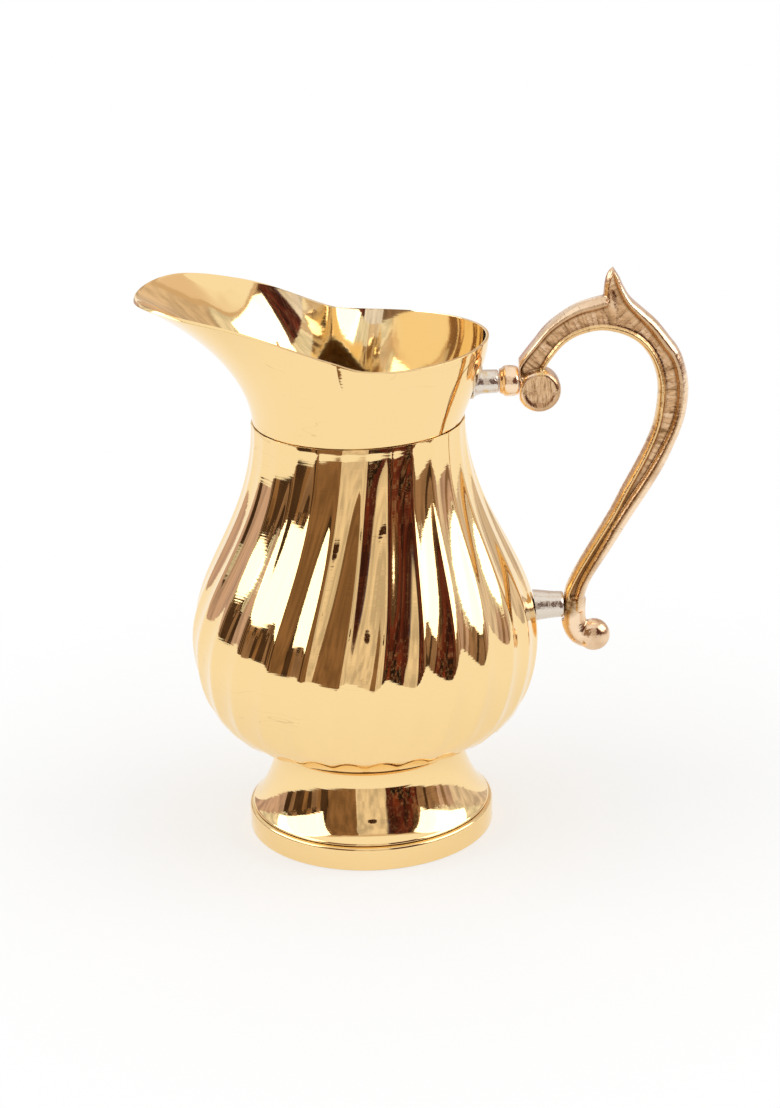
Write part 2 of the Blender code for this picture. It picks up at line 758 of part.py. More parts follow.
def make_lower_post(parent, material):
    wall = bowl_reach(lower_post_height())
    end = wall + LOWER_POST_LENGTH
    root = wall - LOWER_POST_FOOT_RADIUS
    profile = [
        (0.0, end),
        (LOWER_POST_RADIUS, end),
        (LOWER_POST_FOOT_RADIUS, wall),
        (LOWER_POST_FOOT_RADIUS, root),
        (0.0, root),
    ]
    post = turn_post("lower_post", parent, material, profile, lower_post_height())
    plug_builder = follow_flutes(spin_skin(bowl_wall(*WALL_ROWS), FLUTE_COUNT * FLUTE_FACETS), CLEARANCE)
    bmesh.ops.holes_fill(plug_builder, edges=plug_builder.edges, sides=0)
    bmesh.ops.recalc_face_normals(plug_builder, faces=plug_builder.faces)
    plug = hide_as_cutter(add_object("bowl_plug", plug_builder, parent))
    add_boolean(post, "DIFFERENCE", plug)
    return post


def jug_axis_offset():
    """Shift that puts the whole jug's middle over the origin."""
    rows = [(index, *station) for index, station in enumerate(handle_stations())]
    reach = 0.0
    for index in range((len(rows) - 1) * SWEEP_STEPS + 1):
        x, _, depth, _ = through_stations(rows, index / SWEEP_STEPS)
        reach = max(reach, x + depth / 2)
    return (SPOUT_REACH - reach) / 2


def build_jug():
    clear_scene()
    materials = {name: make_material(name) for name in MATERIALS}
    axis = bpy.data.objects.new("jug_axis", None)
    axis.location = (jug_axis_offset(), 0, 0)
    bpy.context.collection.objects.link(axis)
    make_bowl(axis, materials["polished_brass"])
    make_neck(axis, materials["polished_brass"])
    make_foot(axis, materials["polished_brass"])
    make_rim_band(axis, materials["turned_brass"])
    make_handle(axis, materials["cast_brass"])
    make_upper_post(axis, materials["tinned_brass"])
    make_collar(axis, materials["cast_brass"])
    make_lower_post(axis, materials["tinned_brass"])


build_jug()
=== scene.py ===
# Looks of the brass jug: a swirled fluted bowl, a neck drawn out into a spout, a turned foot
# with its rim band, and a cast handle carried on two short posts.

import math
import bmesh
import bpy
from mathutils import Matrix, Vector
from mathutils.geometry import interpolate_bezier
from mathutils.kdtree import KDTree


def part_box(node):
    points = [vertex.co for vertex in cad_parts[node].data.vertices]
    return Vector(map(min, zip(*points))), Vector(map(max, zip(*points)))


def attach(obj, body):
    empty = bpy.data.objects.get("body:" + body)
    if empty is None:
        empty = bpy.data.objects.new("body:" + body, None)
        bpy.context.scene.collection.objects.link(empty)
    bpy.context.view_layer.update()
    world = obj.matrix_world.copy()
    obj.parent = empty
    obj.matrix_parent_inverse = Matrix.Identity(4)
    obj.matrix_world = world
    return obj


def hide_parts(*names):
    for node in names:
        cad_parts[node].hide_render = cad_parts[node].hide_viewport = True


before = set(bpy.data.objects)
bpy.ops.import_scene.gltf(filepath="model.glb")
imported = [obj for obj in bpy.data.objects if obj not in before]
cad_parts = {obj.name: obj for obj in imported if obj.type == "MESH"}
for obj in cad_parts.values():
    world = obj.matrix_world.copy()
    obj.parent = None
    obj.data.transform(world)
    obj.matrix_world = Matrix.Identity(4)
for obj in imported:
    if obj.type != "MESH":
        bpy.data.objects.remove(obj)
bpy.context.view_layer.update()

bandLow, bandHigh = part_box("foot_rim_band")
jugAxis = Vector(((bandLow.x + bandHigh.x) / 2, 0, 0))  # the jug's own axis; pieces are shaped round it
clearance = 0.0003


# Small tools

def mixValues(first, second, share):
    return first + (second - first) * share


def smoothStep(value):
    value = min(1.0, max(0.0, value))
    return value * value * (3 - 2 * value)


def curveRun(start, startPull, endPull, end, count):  # smooth stretch, its last point left to the next one
    knots = [Vector((point[0], point[1], 0)) for point in (start, startPull, endPull, end)]
    points = interpolate_bezier(knots[0], knots[1], knots[2], knots[3], count + 1)
    return [(point.x, point.y) for point in points[:-1]]


def throughStations(stations, position):  # smooth curve through rows (position, value, value...)
    index = 0
    while index < len(stations) - 2 and position > stations[index + 1][0]:
        index += 1
    here, there = stations[index], stations[index + 1]
    span = there[0] - here[0]
    share = (position - here[0]) / span
    result = []
    for column in range(1, len(here)):
        slopes = []
        for knot in (index, index + 1):
            if 0 < knot < len(stations) - 1:
                before, after = stations[knot - 1], stations[knot + 1]
                slopes.append((after[column] - before[column]) / (after[0] - before[0]))
            else:
                slopes.append(0.0)
        result.append(
            (2 * share**3 - 3 * share**2 + 1) * here[column]
            + (share**3 - 2 * share**2 + share) * span * slopes[0]
            + (3 * share**2 - 2 * share**3) * there[column]
            + (share**3 - share**2) * span * slopes[1]
        )
    return result


def spinSkin(profile, facets, axis=(0, 0, 1)):  # turn a chain of (radius, height) points about an axis
    builder = bmesh.new()
    if axis[2]:
        corners = [builder.verts.new((radius, 0, height)) for radius, height in profile]
    else:
        corners = [builder.verts.new((height, 0, radius)) for radius, height in profile]
    for first, second in zip(corners, corners[1:]):
        builder.edges.new((first, second))
    bmesh.ops.spin(
        builder, geom=builder.verts[:] + builder.edges[:], cent=(0, 0, 0), axis=axis,
        angle=math.tau, steps=facets, use_merge=True,
    )
    bmesh.ops.remove_doubles(builder, verts=builder.verts, dist=0.000001)
    bmesh.ops.recalc_face_normals(builder, faces=builder.faces)
    outward = 0.0
    for face in builder.faces:
        middle = face.calc_center_median()
        outward += face.calc_area() * (face.normal.x * middle.x + face.normal.y * middle.y)
    if axis[2] and outward < 0:
        bmesh.ops.reverse_faces(builder, faces=builder.faces[:])
    return builder


def addObject(name, data):
    item = bpy.data.objects.new(name, data)
    bpy.context.scene.collection.objects.link(item)
    return item


def addPiece(name, builder, material, sharpAngle=45):
    bmesh.ops.translate(builder, verts=builder.verts, vec=jugAxis)
    mesh = bpy.data.meshes.new(name)
    builder.to_mesh(mesh)
    builder.free()
    mesh.materials.append(material)
    mesh.shade_smooth()
    mesh.set_sharp_from_angle(angle=math.radians(sharpAngle))
    return addObject(name, mesh)


def settle(piece, node):
    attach(piece, "root")
    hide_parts(node)


def addSheet(piece, thickness, edgeRound, inside=None):  # give a skin its sheet, break the sheet's edges
    solidify = piece.modifiers.new("sheet", "SOLIDIFY")
    if inside:
        piece.data.materials.append(inside)
        solidify.material_offset = 1
    solidify.thickness = thickness
    solidify.offset = -1
    solidify.use_even_offset = True
    bevel = piece.modifiers.new("edges", "BEVEL")
    bevel.width = edgeRound
    bevel.segments = 3
    bevel.limit_method = "ANGLE"
    bevel.angle_limit = math.radians(50)


def addNode(tree, kind, inputs=None, **settings):
    node = tree.nodes.new("ShaderNode" + kind)
    for key, value in settings.items():
        setattr(node, key, value)
    for key, value in (inputs or {}).items():
        if isinstance(value, bpy.types.NodeSocket):
            tree.links.new(value, node.inputs[key])
        else:
            node.inputs[key].default_value = value
    return node


def calc(tree, operation, *values):
    return addNode(tree, "Math", dict(enumerate(values)), operation=operation).outputs[0]


def vectorCalc(tree, operation, *values):
    outputs = addNode(tree, "VectorMath", dict(enumerate(values)), operation=operation).outputs
    return outputs["Value" if operation in ("LENGTH", "DISTANCE") else "Vector"]


def remap(tree, value, start, end, low=0.0, high=1.0, kind="LINEAR"):  # start to end becomes low to high
    inputs = {"Value": value, "From Min": start, "From Max": end, "To Min": low, "To Max": high}
    return addNode(tree, "MapRange", inputs, interpolation_type=kind).outputs[0]


def blend(tree, share, first, second, kind="MIX"):  # each of the two is a socket or a plain colour
    first, second = ((*tone, 1.0) if isinstance(tone, tuple) else tone for tone in (first, second))
    return addNode(tree, "MixRGB", {0: share, 1: first, 2: second}, blend_type=kind).outputs[0]


def ramp(tree, factor, stops, interpolation="LINEAR"):
    node = addNode(tree, "ValToRGB", {"Fac": factor})
    node.color_ramp.interpolation = interpolation
    elements = node.color_ramp.elements
    while len(elements) < len(stops):
        elements.new(1.0)
    for element, (place, colour) in zip(elements, stops):
        element.position = place
        element.color = (*colour, 1.0)
    return node.outputs["Color"]


def newMaterial(name, colour, roughness, metallic=1.0):
    material = bpy.data.materials.new(name)
    material.use_nodes = True
    shader = material.node_tree.nodes["Principled BSDF"]
    shader.inputs["Base Color"].default_value = (*colour, 1.0)
    shader.inputs["Roughness"].default_value = roughness
    shader.inputs["Metallic"].default_value = metallic
    return material, material.node_tree, shader


def glowMaterial(name, colour=(1, 1, 1)):
    material = bpy.data.materials.new(name)
    material.use_nodes = True
    tree = material.node_tree
    glow = addNode(tree, "Emission", {"Color": (*colour, 1.0), "Strength": 1.0})
    tree.links.new(glow.outputs[0], tree.nodes["Material Output"].inputs["Surface"])
    return material, tree, glow.inputs["Color"]


def jugPlace(tree):  # object coordinates measured from the jug's axis
    return vectorCalc(tree, "SUBTRACT", addNode(tree, "TexCoord").outputs["Object"], tuple(jugAxis))


def aroundJug(tree, place):  # turn about the jug's axis, zero towards the camera, and height
    parts = addNode(tree, "SeparateXYZ", {0: place}).outputs
    return calc(tree, "ARCTAN2", parts["X"], calc(tree, "MULTIPLY", parts["Y"], -1.0)), parts["Z"]


def noise(tree, place, scale, detail):  # drawn out by a scale for each axis
    inputs = {"Vector": vectorCalc(tree, "MULTIPLY", place, scale), "Scale": 1.0, "Detail": detail}
    return addNode(tree, "TexNoise", inputs).outputs["Fac"]


def addBumps(tree, shader, layers):  # layers of (height socket, height in metres)
    normal = None
    for height, reach in layers:
        inputs = {"Height": height, "Distance": reach, "Strength": 1.0}
        if normal:
            inputs["Normal"] = normal
        normal = addNode(tree, "Bump", inputs).outputs["Normal"]
    tree.links.new(normal, shader.inputs["Normal"])


def addGrain(tree, shader, place, rows):
    addBumps(tree, shader, [(noise(tree, place, scale, detail), reach) for scale, detail, reach in rows])


# Camera, at the photograph's viewing angle

camera = {  # focal length and picture height in pixels, angles in degrees
    "distance": 1.0, "height": 0.4856, "focal": 2777.0, "photoHeight": 1108, "sensor": 36,
    "yaw": 0.6, "pitch": 20.53, "roll": -1.79, "clipStart": 0.01,
}


def makeCamera():
    yaw, pitch, roll = (math.radians(camera[key]) for key in ("yaw", "pitch", "roll"))
    forward = Vector((math.sin(yaw) * math.cos(pitch), math.cos(yaw) * math.cos(pitch), -math.sin(pitch)))
    level = forward.cross(Vector((0, 0, 1))).normalized()
    up = level.cross(forward)
    right = level * math.cos(roll) + up * math.sin(roll)
    top = up * math.cos(roll) - level * math.sin(roll)
    data = bpy.data.cameras.new("camera")
    data.sensor_fit = "VERTICAL"
    data.sensor_height = camera["sensor"]
    data.lens = camera["sensor"] * camera["focal"] / camera["photoHeight"]
    data.clip_start = camera["clipStart"]
    placed = Matrix((right, top, -forward)).transposed().to_4x4()
    placed.translation = jugAxis + Vector((0, -camera["distance"], camera["height"]))
    item = addObject("camera", data)
    item.matrix_world = placed
    bpy.context.scene.camera = item


makeCamera()
print("camera placed")


# Studio: white world, pale table, and the room that the metal mirrors

studio = {
    "worldFill": 0.70, "tableFront": 0.44, "tableReach": 3.0, "tableColour": (0.92, 0.92, 0.91),
    "tableRoughness": 0.9, "fadeStart": 0.07, "fadeEnd": 0.30, "fadeLeast": 0.5,
    "softboxDistance": 1.15, "softboxSize": (1.15, 0.62), "softboxPower": 5.5,
    "softboxAzimuth": 80, "softboxRise": 28, "softboxLift": 0.1, "lensSpot": (0.085, 0.04),
}

room = {  # a round wall about the jug; turns in degrees, ceilingTurn in radians
    "radius": 1.4, "foot": -0.30, "top": 2.1, "turns": (-176, 176), "facets": 64,
    "shelf": 0.35, "shelfRagged": 0.10, "corniceFoot": 1.30, "corniceTop": 1.42,
    "ceilingTurn": (1.1, 2.4), "openingTop": -0.165, "openingTurn": 36, "wobble": 0.10,
    "cloth": (15.5, 50), "clothAbove": 0.6, "sprigsOver": 0.62, "sprigShare": 0.55,
    "wobbleScale": (2.6, 2.6, 1.8), "dappleScale": (7, 7, 3), "foldScale": (1.6, 1.6, 1.1),
    "printScale": (9.0, 9.0, 2.2), "sprigScale": 26.0,
    "lowBands": (
        (-180, "rose"), (-104, "umber"), (-97, "mauve"), (-91, "umber"), (-80, "brown"), (-74, "umber"),
        (-70, "mauve"), (-62, "brown"), (-58, "umber"), (-48, "brown"), (-17, "tan"), (15.5, "wine"),
        (52, "mauve"), (60, "umber"), (63, "mauve"), (76, "rose"), (82, "mauve"), (86, "rose"), (95, "blush"),
    ),
    "highBands": (
        (-180, "white"), (-97, "umber"), (-90, "mauve"), (-85, "umber"), (-74, "brown"), (-68, "umber"),
        (-63, "mauve"), (-58, "umber"), (-50, "brown"), (-17, "tan"), (15.5, "wine"), (44, "brown"),
        (50, "mauve"), (57, "umber"), (63, "mauve"), (70, "white"), (128, "clay"),
    ),
    "print": ((0.0, "wine"), (0.34, "soot"), (0.50, "indigo"), (0.64, "crimson"), (0.84, "soot")),
    "sprigs": ((0.0, "soot"), (0.4, "rust"), (0.8, "mauve")),
    "dapple": ((0.38, "shade"), (0.62, "white")), "folds": ((0.36, "clay"), (0.62, "plaster")),
}

roomTones = {
    "white": (1.0, 1.0, 1.0), "tan": (0.92, 0.82, 0.74), "brown": (0.29, 0.165, 0.09),
    "umber": (0.08, 0.045, 0.028), "wine": (0.10, 0.024, 0.02), "mauve": (0.36, 0.23, 0.165),
    "sand": (0.66, 0.52, 0.42), "rose": (0.66, 0.50, 0.52), "blush": (0.85, 0.77, 0.80),
    "clay": (0.82, 0.69, 0.62), "indigo": (0.04, 0.05, 0.12), "soot": (0.02, 0.012, 0.01),
    "crimson": (0.17, 0.035, 0.02), "rust": (0.20, 0.06, 0.03), "plaster": (0.97, 0.93, 0.90),
    "shade": (0.62, 0.62, 0.62), "lens": (0.05, 0.02, 0.01),
}


def seenRay(tree):  # 1 for what the camera or a mirror sees
    rays = addNode(tree, "LightPath").outputs
    return calc(tree, "MAXIMUM", rays["Is Camera Ray"], rays["Is Glossy Ray"])


def makeWorld():
    world = bpy.data.worlds.new("studio_world")
    bpy.context.scene.world = world
    world.use_nodes = True
    tree = world.node_tree
    fill = studio["worldFill"]
    strength = calc(tree, "ADD", fill, calc(tree, "MULTIPLY", seenRay(tree), 1 - fill))
    background = tree.nodes["Background"]
    background.inputs["Color"].default_value = (1, 1, 1, 1)
    tree.links.new(strength, background.inputs["Strength"])


def makeTable():
    builder = bmesh.new()
    bmesh.ops.create_grid(builder, x_segments=1, y_segments=1, size=0.5)
    reach, front = studio["tableReach"], studio["tableFront"]
    bmesh.ops.scale(builder, vec=(2 * reach, reach + front, 1), verts=builder.verts)
    bmesh.ops.translate(builder, vec=Vector((0, (reach - front) / 2, 0)) - jugAxis, verts=builder.verts)
    material, tree, shader = newMaterial("tableCloth", studio["tableColour"], studio["tableRoughness"], 0.0)
    away = vectorCalc(tree, "LENGTH", addNode(tree, "TexCoord").outputs["Object"])
    fade = remap(tree, away, studio["fadeStart"], studio["fadeEnd"], kind="SMOOTHSTEP")
    fade = calc(tree, "MULTIPLY", remap(tree, fade, 0.0, 1.0, studio["fadeLeast"]), seenRay(tree))
    glow = addNode(tree, "Emission", {"Color": (1, 1, 1, 1), "Strength": 1.0}).outputs[0]
    both = addNode(tree, "MixShader", {0: fade, 1: shader.outputs[0], 2: glow}).outputs[0]
    tree.links.new(both, tree.nodes["Material Output"].inputs["Surface"])
    addPiece("table", builder, material)


def mirroredOnly(item):  # the metal mirrors it, the camera and the table don't see it
    item.visible_camera = False
    item.visible_diffuse = False
    item.visible_transmission = False
    item.visible_shadow = False


def toneRamp(tree, factor, rows, interpolation="CONSTANT"):  # rows of (start, name of a tone)
    return ramp(tree, factor, [(start, roomTones[tone]) for start, tone in rows], interpolation)


def cells(tree, place, scale):  # patches, each with a value of its own
    colour = addNode(tree, "TexVoronoi", {"Vector": place, "Scale": scale}).outputs["Color"]
    return addNode(tree, "SeparateXYZ", {0: colour}).outputs["X"]


def printedCloth(tree, place, spots):
    patches = cells(tree, vectorCalc(tree, "MULTIPLY", place, room["printScale"]), 1.0)
    ground = toneRamp(tree, patches, room["print"])
    sprigs = toneRamp(tree, spots, room["sprigs"])
    sprigged = calc(tree, "MULTIPLY", calc(tree, "GREATER_THAN", spots, room["sprigsOver"]), room["sprigShare"])
    return blend(tree, sprigged, ground, sprigs)


def roomMaterial():
    material, tree, shown = glowMaterial("mirroredRoom")
    place = jugPlace(tree)
    turn, height = aroundJug(tree, place)
    wobble = calc(tree, "SUBTRACT", noise(tree, place, room["wobbleScale"], 4.0), 0.5)
    wavyTurn = calc(tree, "ADD", turn, calc(tree, "MULTIPLY", wobble, room["wobble"]))
    share = calc(tree, "ADD", calc(tree, "DIVIDE", wavyTurn, math.tau), 0.5)
    low, high = (
        toneRamp(tree, share, [(0.5 + degrees / 360, tone) for degrees, tone in room[name]])
        for name in ("lowBands", "highBands")
    )
    spots = cells(tree, place, room["sprigScale"])
    printed = printedCloth(tree, place, spots)
    clothStart, clothEnd = (0.5 + degrees / 360 for degrees in room["cloth"])
    pastStart = calc(tree, "GREATER_THAN", share, clothStart)
    inCloth = calc(tree, "MULTIPLY", pastStart, calc(tree, "LESS_THAN", share, clothEnd))
    low = blend(tree, inCloth, low, printed)
    high = blend(tree, calc(tree, "MULTIPLY", inCloth, room["clothAbove"]), high, printed)
    ragged = calc(tree, "MULTIPLY", calc(tree, "SUBTRACT", spots, 0.5), room["shelfRagged"])
    overShelf = calc(tree, "GREATER_THAN", calc(tree, "ADD", height, ragged), room["shelf"])
    tone = blend(tree, overShelf, low, high)
    dapple = toneRamp(tree, noise(tree, place, room["dappleScale"], 4.0), room["dapple"], "LINEAR")
    tone = blend(tree, 1.0, tone, dapple, "MULTIPLY")
    tone = blend(tree, calc(tree, "GREATER_THAN", height, room["corniceFoot"]), tone, roomTones["sand"])
    folds = toneRamp(tree, noise(tree, place, room["foldScale"], 1.0), room["folds"], "LINEAR")
    ceiling = blend(tree, remap(tree, wavyTurn, *room["ceilingTurn"]), roomTones["white"], folds)
    tone = blend(tree, calc(tree, "GREATER_THAN", height, room["corniceTop"]), tone, ceiling)
    ahead = calc(tree, "LESS_THAN", calc(tree, "ABSOLUTE", turn), math.radians(room["openingTurn"]))
    opening = calc(tree, "MULTIPLY", ahead, calc(tree, "LESS_THAN", height, room["openingTop"]))
    tree.links.new(blend(tree, opening, tone, roomTones["white"]), shown)
    return material


def makeRoom():
    builder = bmesh.new()
    start, end = room["turns"]
    turn = math.radians(start - 90)
    across = Vector((math.cos(turn), math.sin(turn), 0)) * room["radius"]
    low, high = (builder.verts.new(across + Vector((0, 0, room[name]))) for name in ("foot", "top"))
    builder.edges.new((low, high))
    bmesh.ops.spin(
        builder, geom=builder.verts[:] + builder.edges[:], cent=(0, 0, 0), axis=(0, 0, 1),
        angle=math.radians(end - start), steps=room["facets"],
    )
    mirroredOnly(addPiece("mirrored_room", builder, roomMaterial()))


def makeLensSpot():
    builder = bmesh.new()
    bmesh.ops.create_circle(builder, cap_ends=True, segments=32, radius=1.0)
    wide, tall = studio["lensSpot"]
    bmesh.ops.scale(builder, vec=(wide, tall, 1), verts=builder.verts)
    facing = Matrix.Rotation(math.radians(90 - camera["pitch"]), 4, "X")
    bmesh.ops.transform(builder, matrix=facing, verts=builder.verts)
    bmesh.ops.translate(builder, vec=(0, -camera["distance"], camera["height"]), verts=builder.verts)
    mirroredOnly(addPiece("lens_spot", builder, glowMaterial("lensDark", roomTones["lens"])[0]))


def makeSoftboxes():
    for side in (-1, 1):
        light = bpy.data.lights.new("softbox", "AREA")
        light.shape = "RECTANGLE"
        light.size, light.size_y = studio["softboxSize"]
        light.energy = studio["softboxPower"]
        item = addObject("softbox", light)
        turn = math.radians(side * studio["softboxAzimuth"])
        rise = math.radians(studio["softboxRise"])
        away = Vector((math.sin(turn) * math.cos(rise), -math.cos(turn) * math.cos(rise), math.sin(rise)))
        item.location = jugAxis + away * studio["softboxDistance"] + Vector((0, 0, studio["softboxLift"]))
        item.rotation_euler = away.to_track_quat("Z", "Y").to_euler()
        item.visible_camera = False


bpy.context.scene.view_settings.view_transform = "Standard"
makeWorld()
makeTable()
makeRoom()
makeLensSpot()
makeSoftboxes()
print("studio set")


# Finishes

finish = {
    "brass": (0.96, 0.70, 0.34), "polishRoughness": (0.03, 0.065),
    "hazeScale": (30, 30, 60), "hazeSpan": (0.3, 0.7),
    "hairline": (0.34, 0.17, 0.06), "hairScale": (30, 30, 170), "hairWidth": 0.003, "hairShare": 0.2,
    "wornScale": (31, 31, 38), "wornOver": 0.56,
    "seamTurn": (50, 72), "seamHeight": (0.166, 0.197), "seamBend": 5.0, "seamWidth": (0.006, 0.013),
    # throat is a paler brass for the neck's inside, a painted sheen
    "seamShare": 0.85, "throat": (0.97, 0.84, 0.60), "throatRoughness": 0.07, "throatSheenFade": (-0.042, -0.014),
    "satin": (0.82, 0.58, 0.30), "satinRoughness": 0.42, "tarnish": (0.52, 0.31, 0.13),
    "tarnishScale": (60, 60, 90), "turnedRoughness": 0.10, "tin": (0.78, 0.70, 0.60), "tinRoughness": 0.24,
}

grain = {  # bumps, as rows of (noise scale for each axis, detail, height in metres)
    "polished": (((38, 38, 26), 1.0, 0.00013), ((14, 14, 300), 2.0, 0.000034), ((22, 22, 1300), 2.0, 0.000010)),
    "throat": (((42, 42, 30), 2.0, 0.00022), ((16, 16, 500), 2.0, 0.000014), ((420, 420, 420), 2.0, 0.000008)),
    "turned": (((40, 40, 60), 2.0, 0.00003), ((10, 10, 2200), 2.0, 0.0000015)),
    "satin": (((12, 12, 900), 3.0, 0.00001),),
    "tinned": (((350, 350, 350), 3.0, 0.0004),),
}


def polishedBrass(name, seam=False):
    smooth, dull = finish["polishRoughness"]
    material, tree, shader = newMaterial(name, finish["brass"], smooth)
    place = jugPlace(tree)
    addGrain(tree, shader, place, grain["polished"])
    haze = noise(tree, place, finish["hazeScale"], 4.0)
    tree.links.new(remap(tree, haze, *finish["hazeSpan"], smooth, dull), shader.inputs["Roughness"])
    strokes = calc(tree, "SUBTRACT", noise(tree, place, finish["hairScale"], 1.0), 0.5)
    strokes = calc(tree, "LESS_THAN", calc(tree, "ABSOLUTE", strokes), finish["hairWidth"])
    worn = calc(tree, "GREATER_THAN", noise(tree, place, finish["wornScale"], 3.0), finish["wornOver"])
    marks = calc(tree, "MULTIPLY", strokes, calc(tree, "MULTIPLY", worn, finish["hairShare"]))
    if seam:
        marks = calc(tree, "MAXIMUM", marks, seamLine(tree, place))
    tree.links.new(blend(tree, marks, finish["brass"], finish["hairline"]), shader.inputs["Base Color"])
    return material


def seamLine(tree, place):  # the neck's soldered seam, leaning round from its base to the lip
    turn, height = aroundJug(tree, place)
    start, end = (math.radians(degrees) for degrees in finish["seamTurn"])
    climb = calc(tree, "POWER", remap(tree, height, *finish["seamHeight"]), finish["seamBend"])
    lean = calc(tree, "ADD", calc(tree, "MULTIPLY", climb, end - start), start)
    aside = calc(tree, "ABSOLUTE", calc(tree, "SUBTRACT", turn, lean))
    return remap(tree, aside, *finish["seamWidth"], finish["seamShare"], 0.0)


def throatBrass():  # the neck's inside, paler down in the throat: the paler colour is a painted sheen that lifts its reflections
    material, tree, shader = newMaterial("throatBrass", finish["throat"], finish["throatRoughness"])
    place = jugPlace(tree)
    across = addNode(tree, "SeparateXYZ", {0: place}).outputs["X"]
    paintedSheenShare = remap(tree, across, *finish["throatSheenFade"], kind="SMOOTHSTEP")
    # painted sheen: the paler throat colour brightens the reflections inside the neck, away from the spout
    tree.links.new(blend(tree, paintedSheenShare, finish["brass"], finish["throat"]), shader.inputs["Base Color"])
    addGrain(tree, shader, place, grain["throat"])
    return material


def satinBrass():  # the bowl's inside, left unpolished
    material, tree, shader = newMaterial("satinBrass", finish["satin"], finish["satinRoughness"])
    place = jugPlace(tree)
    haze = noise(tree, place, finish["tarnishScale"], 4.0)
    tarnish = ramp(tree, haze, [(0.35, finish["tarnish"]), (0.65, finish["satin"])])
    tree.links.new(tarnish, shader.inputs["Base Color"])
    addGrain(tree, shader, place, grain["satin"])
    return material


def plainBrass(name, colour, roughness, rows):
    material, tree, shader = newMaterial(name, colour, roughness)
    addGrain(tree, shader, jugPlace(tree), rows)
    return material


polished = polishedBrass("polishedBrass")
seamed = polishedBrass("seamedBrass", True)
satin = satinBrass()
throat = throatBrass()
turned = plainBrass("turnedBrass", finish["brass"], finish["turnedRoughness"], grain["turned"])
tinned = plainBrass("tinnedBrass", finish["tin"], finish["tinRoughness"], grain["tinned"])
print("finishes mixed")


# Fluted bowl

bowl = {
    "sheet": 0.0012, "bellyRadius": 0.0671, "bellyHeight": 0.0790,
    "shoulderRadius": 0.0406, "shoulderHeight": 0.1669, "edgeStep": 0.0003, "floorHeight": 0.0383,
    "shoulderPull": 0.44, "bellyPulls": (0.32, 0.42), "ledgePull": 0.19,
    "flutes": 28, "facetsPerFlute": 16, "depth": 0.0010, "topDepth": 0.0003, "endShare": 0.35, "fade": 0.0600,
    "phase": -85.7, "swirl": 19.0, "ridgeShare": 0.24, "scallopRise": 0.0030, "scallopFade": 0.0120,
    "rowsAbove": 52, "rowsBelow": 22, "rowsInCup": 8, "edgeRound": 0.00025,
}

foot = {
    "sheet": 0.0015, "rimRadius": 0.0480, "rimHeight": 0.0095, "edgeHeight": 0.0004, "edgeStep": 0.0014,
    "waistRadius": 0.0368, "waistHeight": 0.0345, "cupRadius": 0.0566, "cupHeight": 0.0477, "cupAngle": 45,
    "cupPulls": (0.67, 0.20), "waistPull": 0.315, "flarePull": (0.52, 0.155),
    "cupRows": 22, "flareRows": 24, "edgeRound": 0.0003,
}


def bowlEdge(inward):  # point of the bowl's edge face, just off the cup's edge
    lean, climb = math.sin(math.radians(foot["cupAngle"])), math.cos(math.radians(foot["cupAngle"]))
    return (foot["cupRadius"] + clearance * climb - inward * lean,
            foot["cupHeight"] + clearance * lean + inward * climb)


def ledgeHeight():
    return bowlEdge(-bowl["edgeStep"])[1]


def bowlWall():
    belly, shoulder = bowl["bellyHeight"], bowl["shoulderHeight"]
    ledge = bowlEdge(-bowl["edgeStep"])
    rise, drop = shoulder - belly, belly - ledge[1]
    pull = bowl["ledgePull"] * drop
    upper = curveRun(
        (bowl["shoulderRadius"], shoulder),
        (bowl["shoulderRadius"], shoulder - bowl["shoulderPull"] * rise),
        (bowl["bellyRadius"], belly + bowl["bellyPulls"][0] * rise),
        (bowl["bellyRadius"], belly), bowl["rowsAbove"],
    )
    lower = curveRun(
        (bowl["bellyRadius"], belly),
        (bowl["bellyRadius"], belly - bowl["bellyPulls"][1] * drop),
        (ledge[0] + pull, ledge[1] + pull), ledge, bowl["rowsBelow"],
    )
    return upper + lower + [ledge]


def cupCurve(rows):
    rise = foot["cupHeight"] - foot["waistHeight"]
    reach = foot["cupPulls"][0] * rise * math.sin(math.radians(foot["cupAngle"]))
    return curveRun(
        (foot["cupRadius"], foot["cupHeight"]), (foot["cupRadius"] - reach, foot["cupHeight"] - reach),
        (foot["waistRadius"], foot["waistHeight"] + foot["cupPulls"][1] * rise),
        (foot["waistRadius"], foot["waistHeight"]), rows,
    )


def bowlUnderside(rows):
    lift = foot["sheet"] + clearance
    line = cupCurve(rows)
    dish = [bowlEdge(lift)]
    for before, here, after in zip(line, line[1:], line[2:]):
        along = Vector((before[0] - after[0], before[1] - after[1])).normalized()
        spot = (here[0] - lift * along.y, here[1] + lift * along.x)
        if spot[1] > bowl["floorHeight"] + bowl["sheet"]:
            dish.append(spot)
    floorRadius = dish[-1][0] - (dish[-1][1] - bowl["floorHeight"]) - bowl["sheet"]
    return dish + [(floorRadius, bowl["floorHeight"]), (0.0, bowl["floorHeight"])]


def fluteTurn(height):
    span = bowl["shoulderHeight"] - ledgeHeight()
    return math.radians(bowl["swirl"]) * (bowl["shoulderHeight"] - height) / span


def hollowShare(angle, height):  # 1 in a flute's hollow, 0 on the rounded ridge beside it
    start = math.radians(bowl["phase"])
    place = ((angle - start + fluteTurn(height)) * bowl["flutes"] / math.tau) % 1.0
    across = 2 * abs(place - 0.5)
    ridge = bowl["ridgeShare"]
    if across < 1 - ridge:
        return 1 - across * across / (1 - ridge)
    return (1 - across) ** 2 / ridge


def isOnWall(radius, height):  # on the fluted wall, not on the dish in the cup or on the foot
    aboveDish = height > bowlEdge(foot["sheet"] + clearance)[1] + 0.000001
    beyondCup = radius - foot["cupRadius"] > height - foot["cupHeight"] + clearance / 2
    return aboveDish or (beyondCup and height > foot["cupHeight"] - clearance)


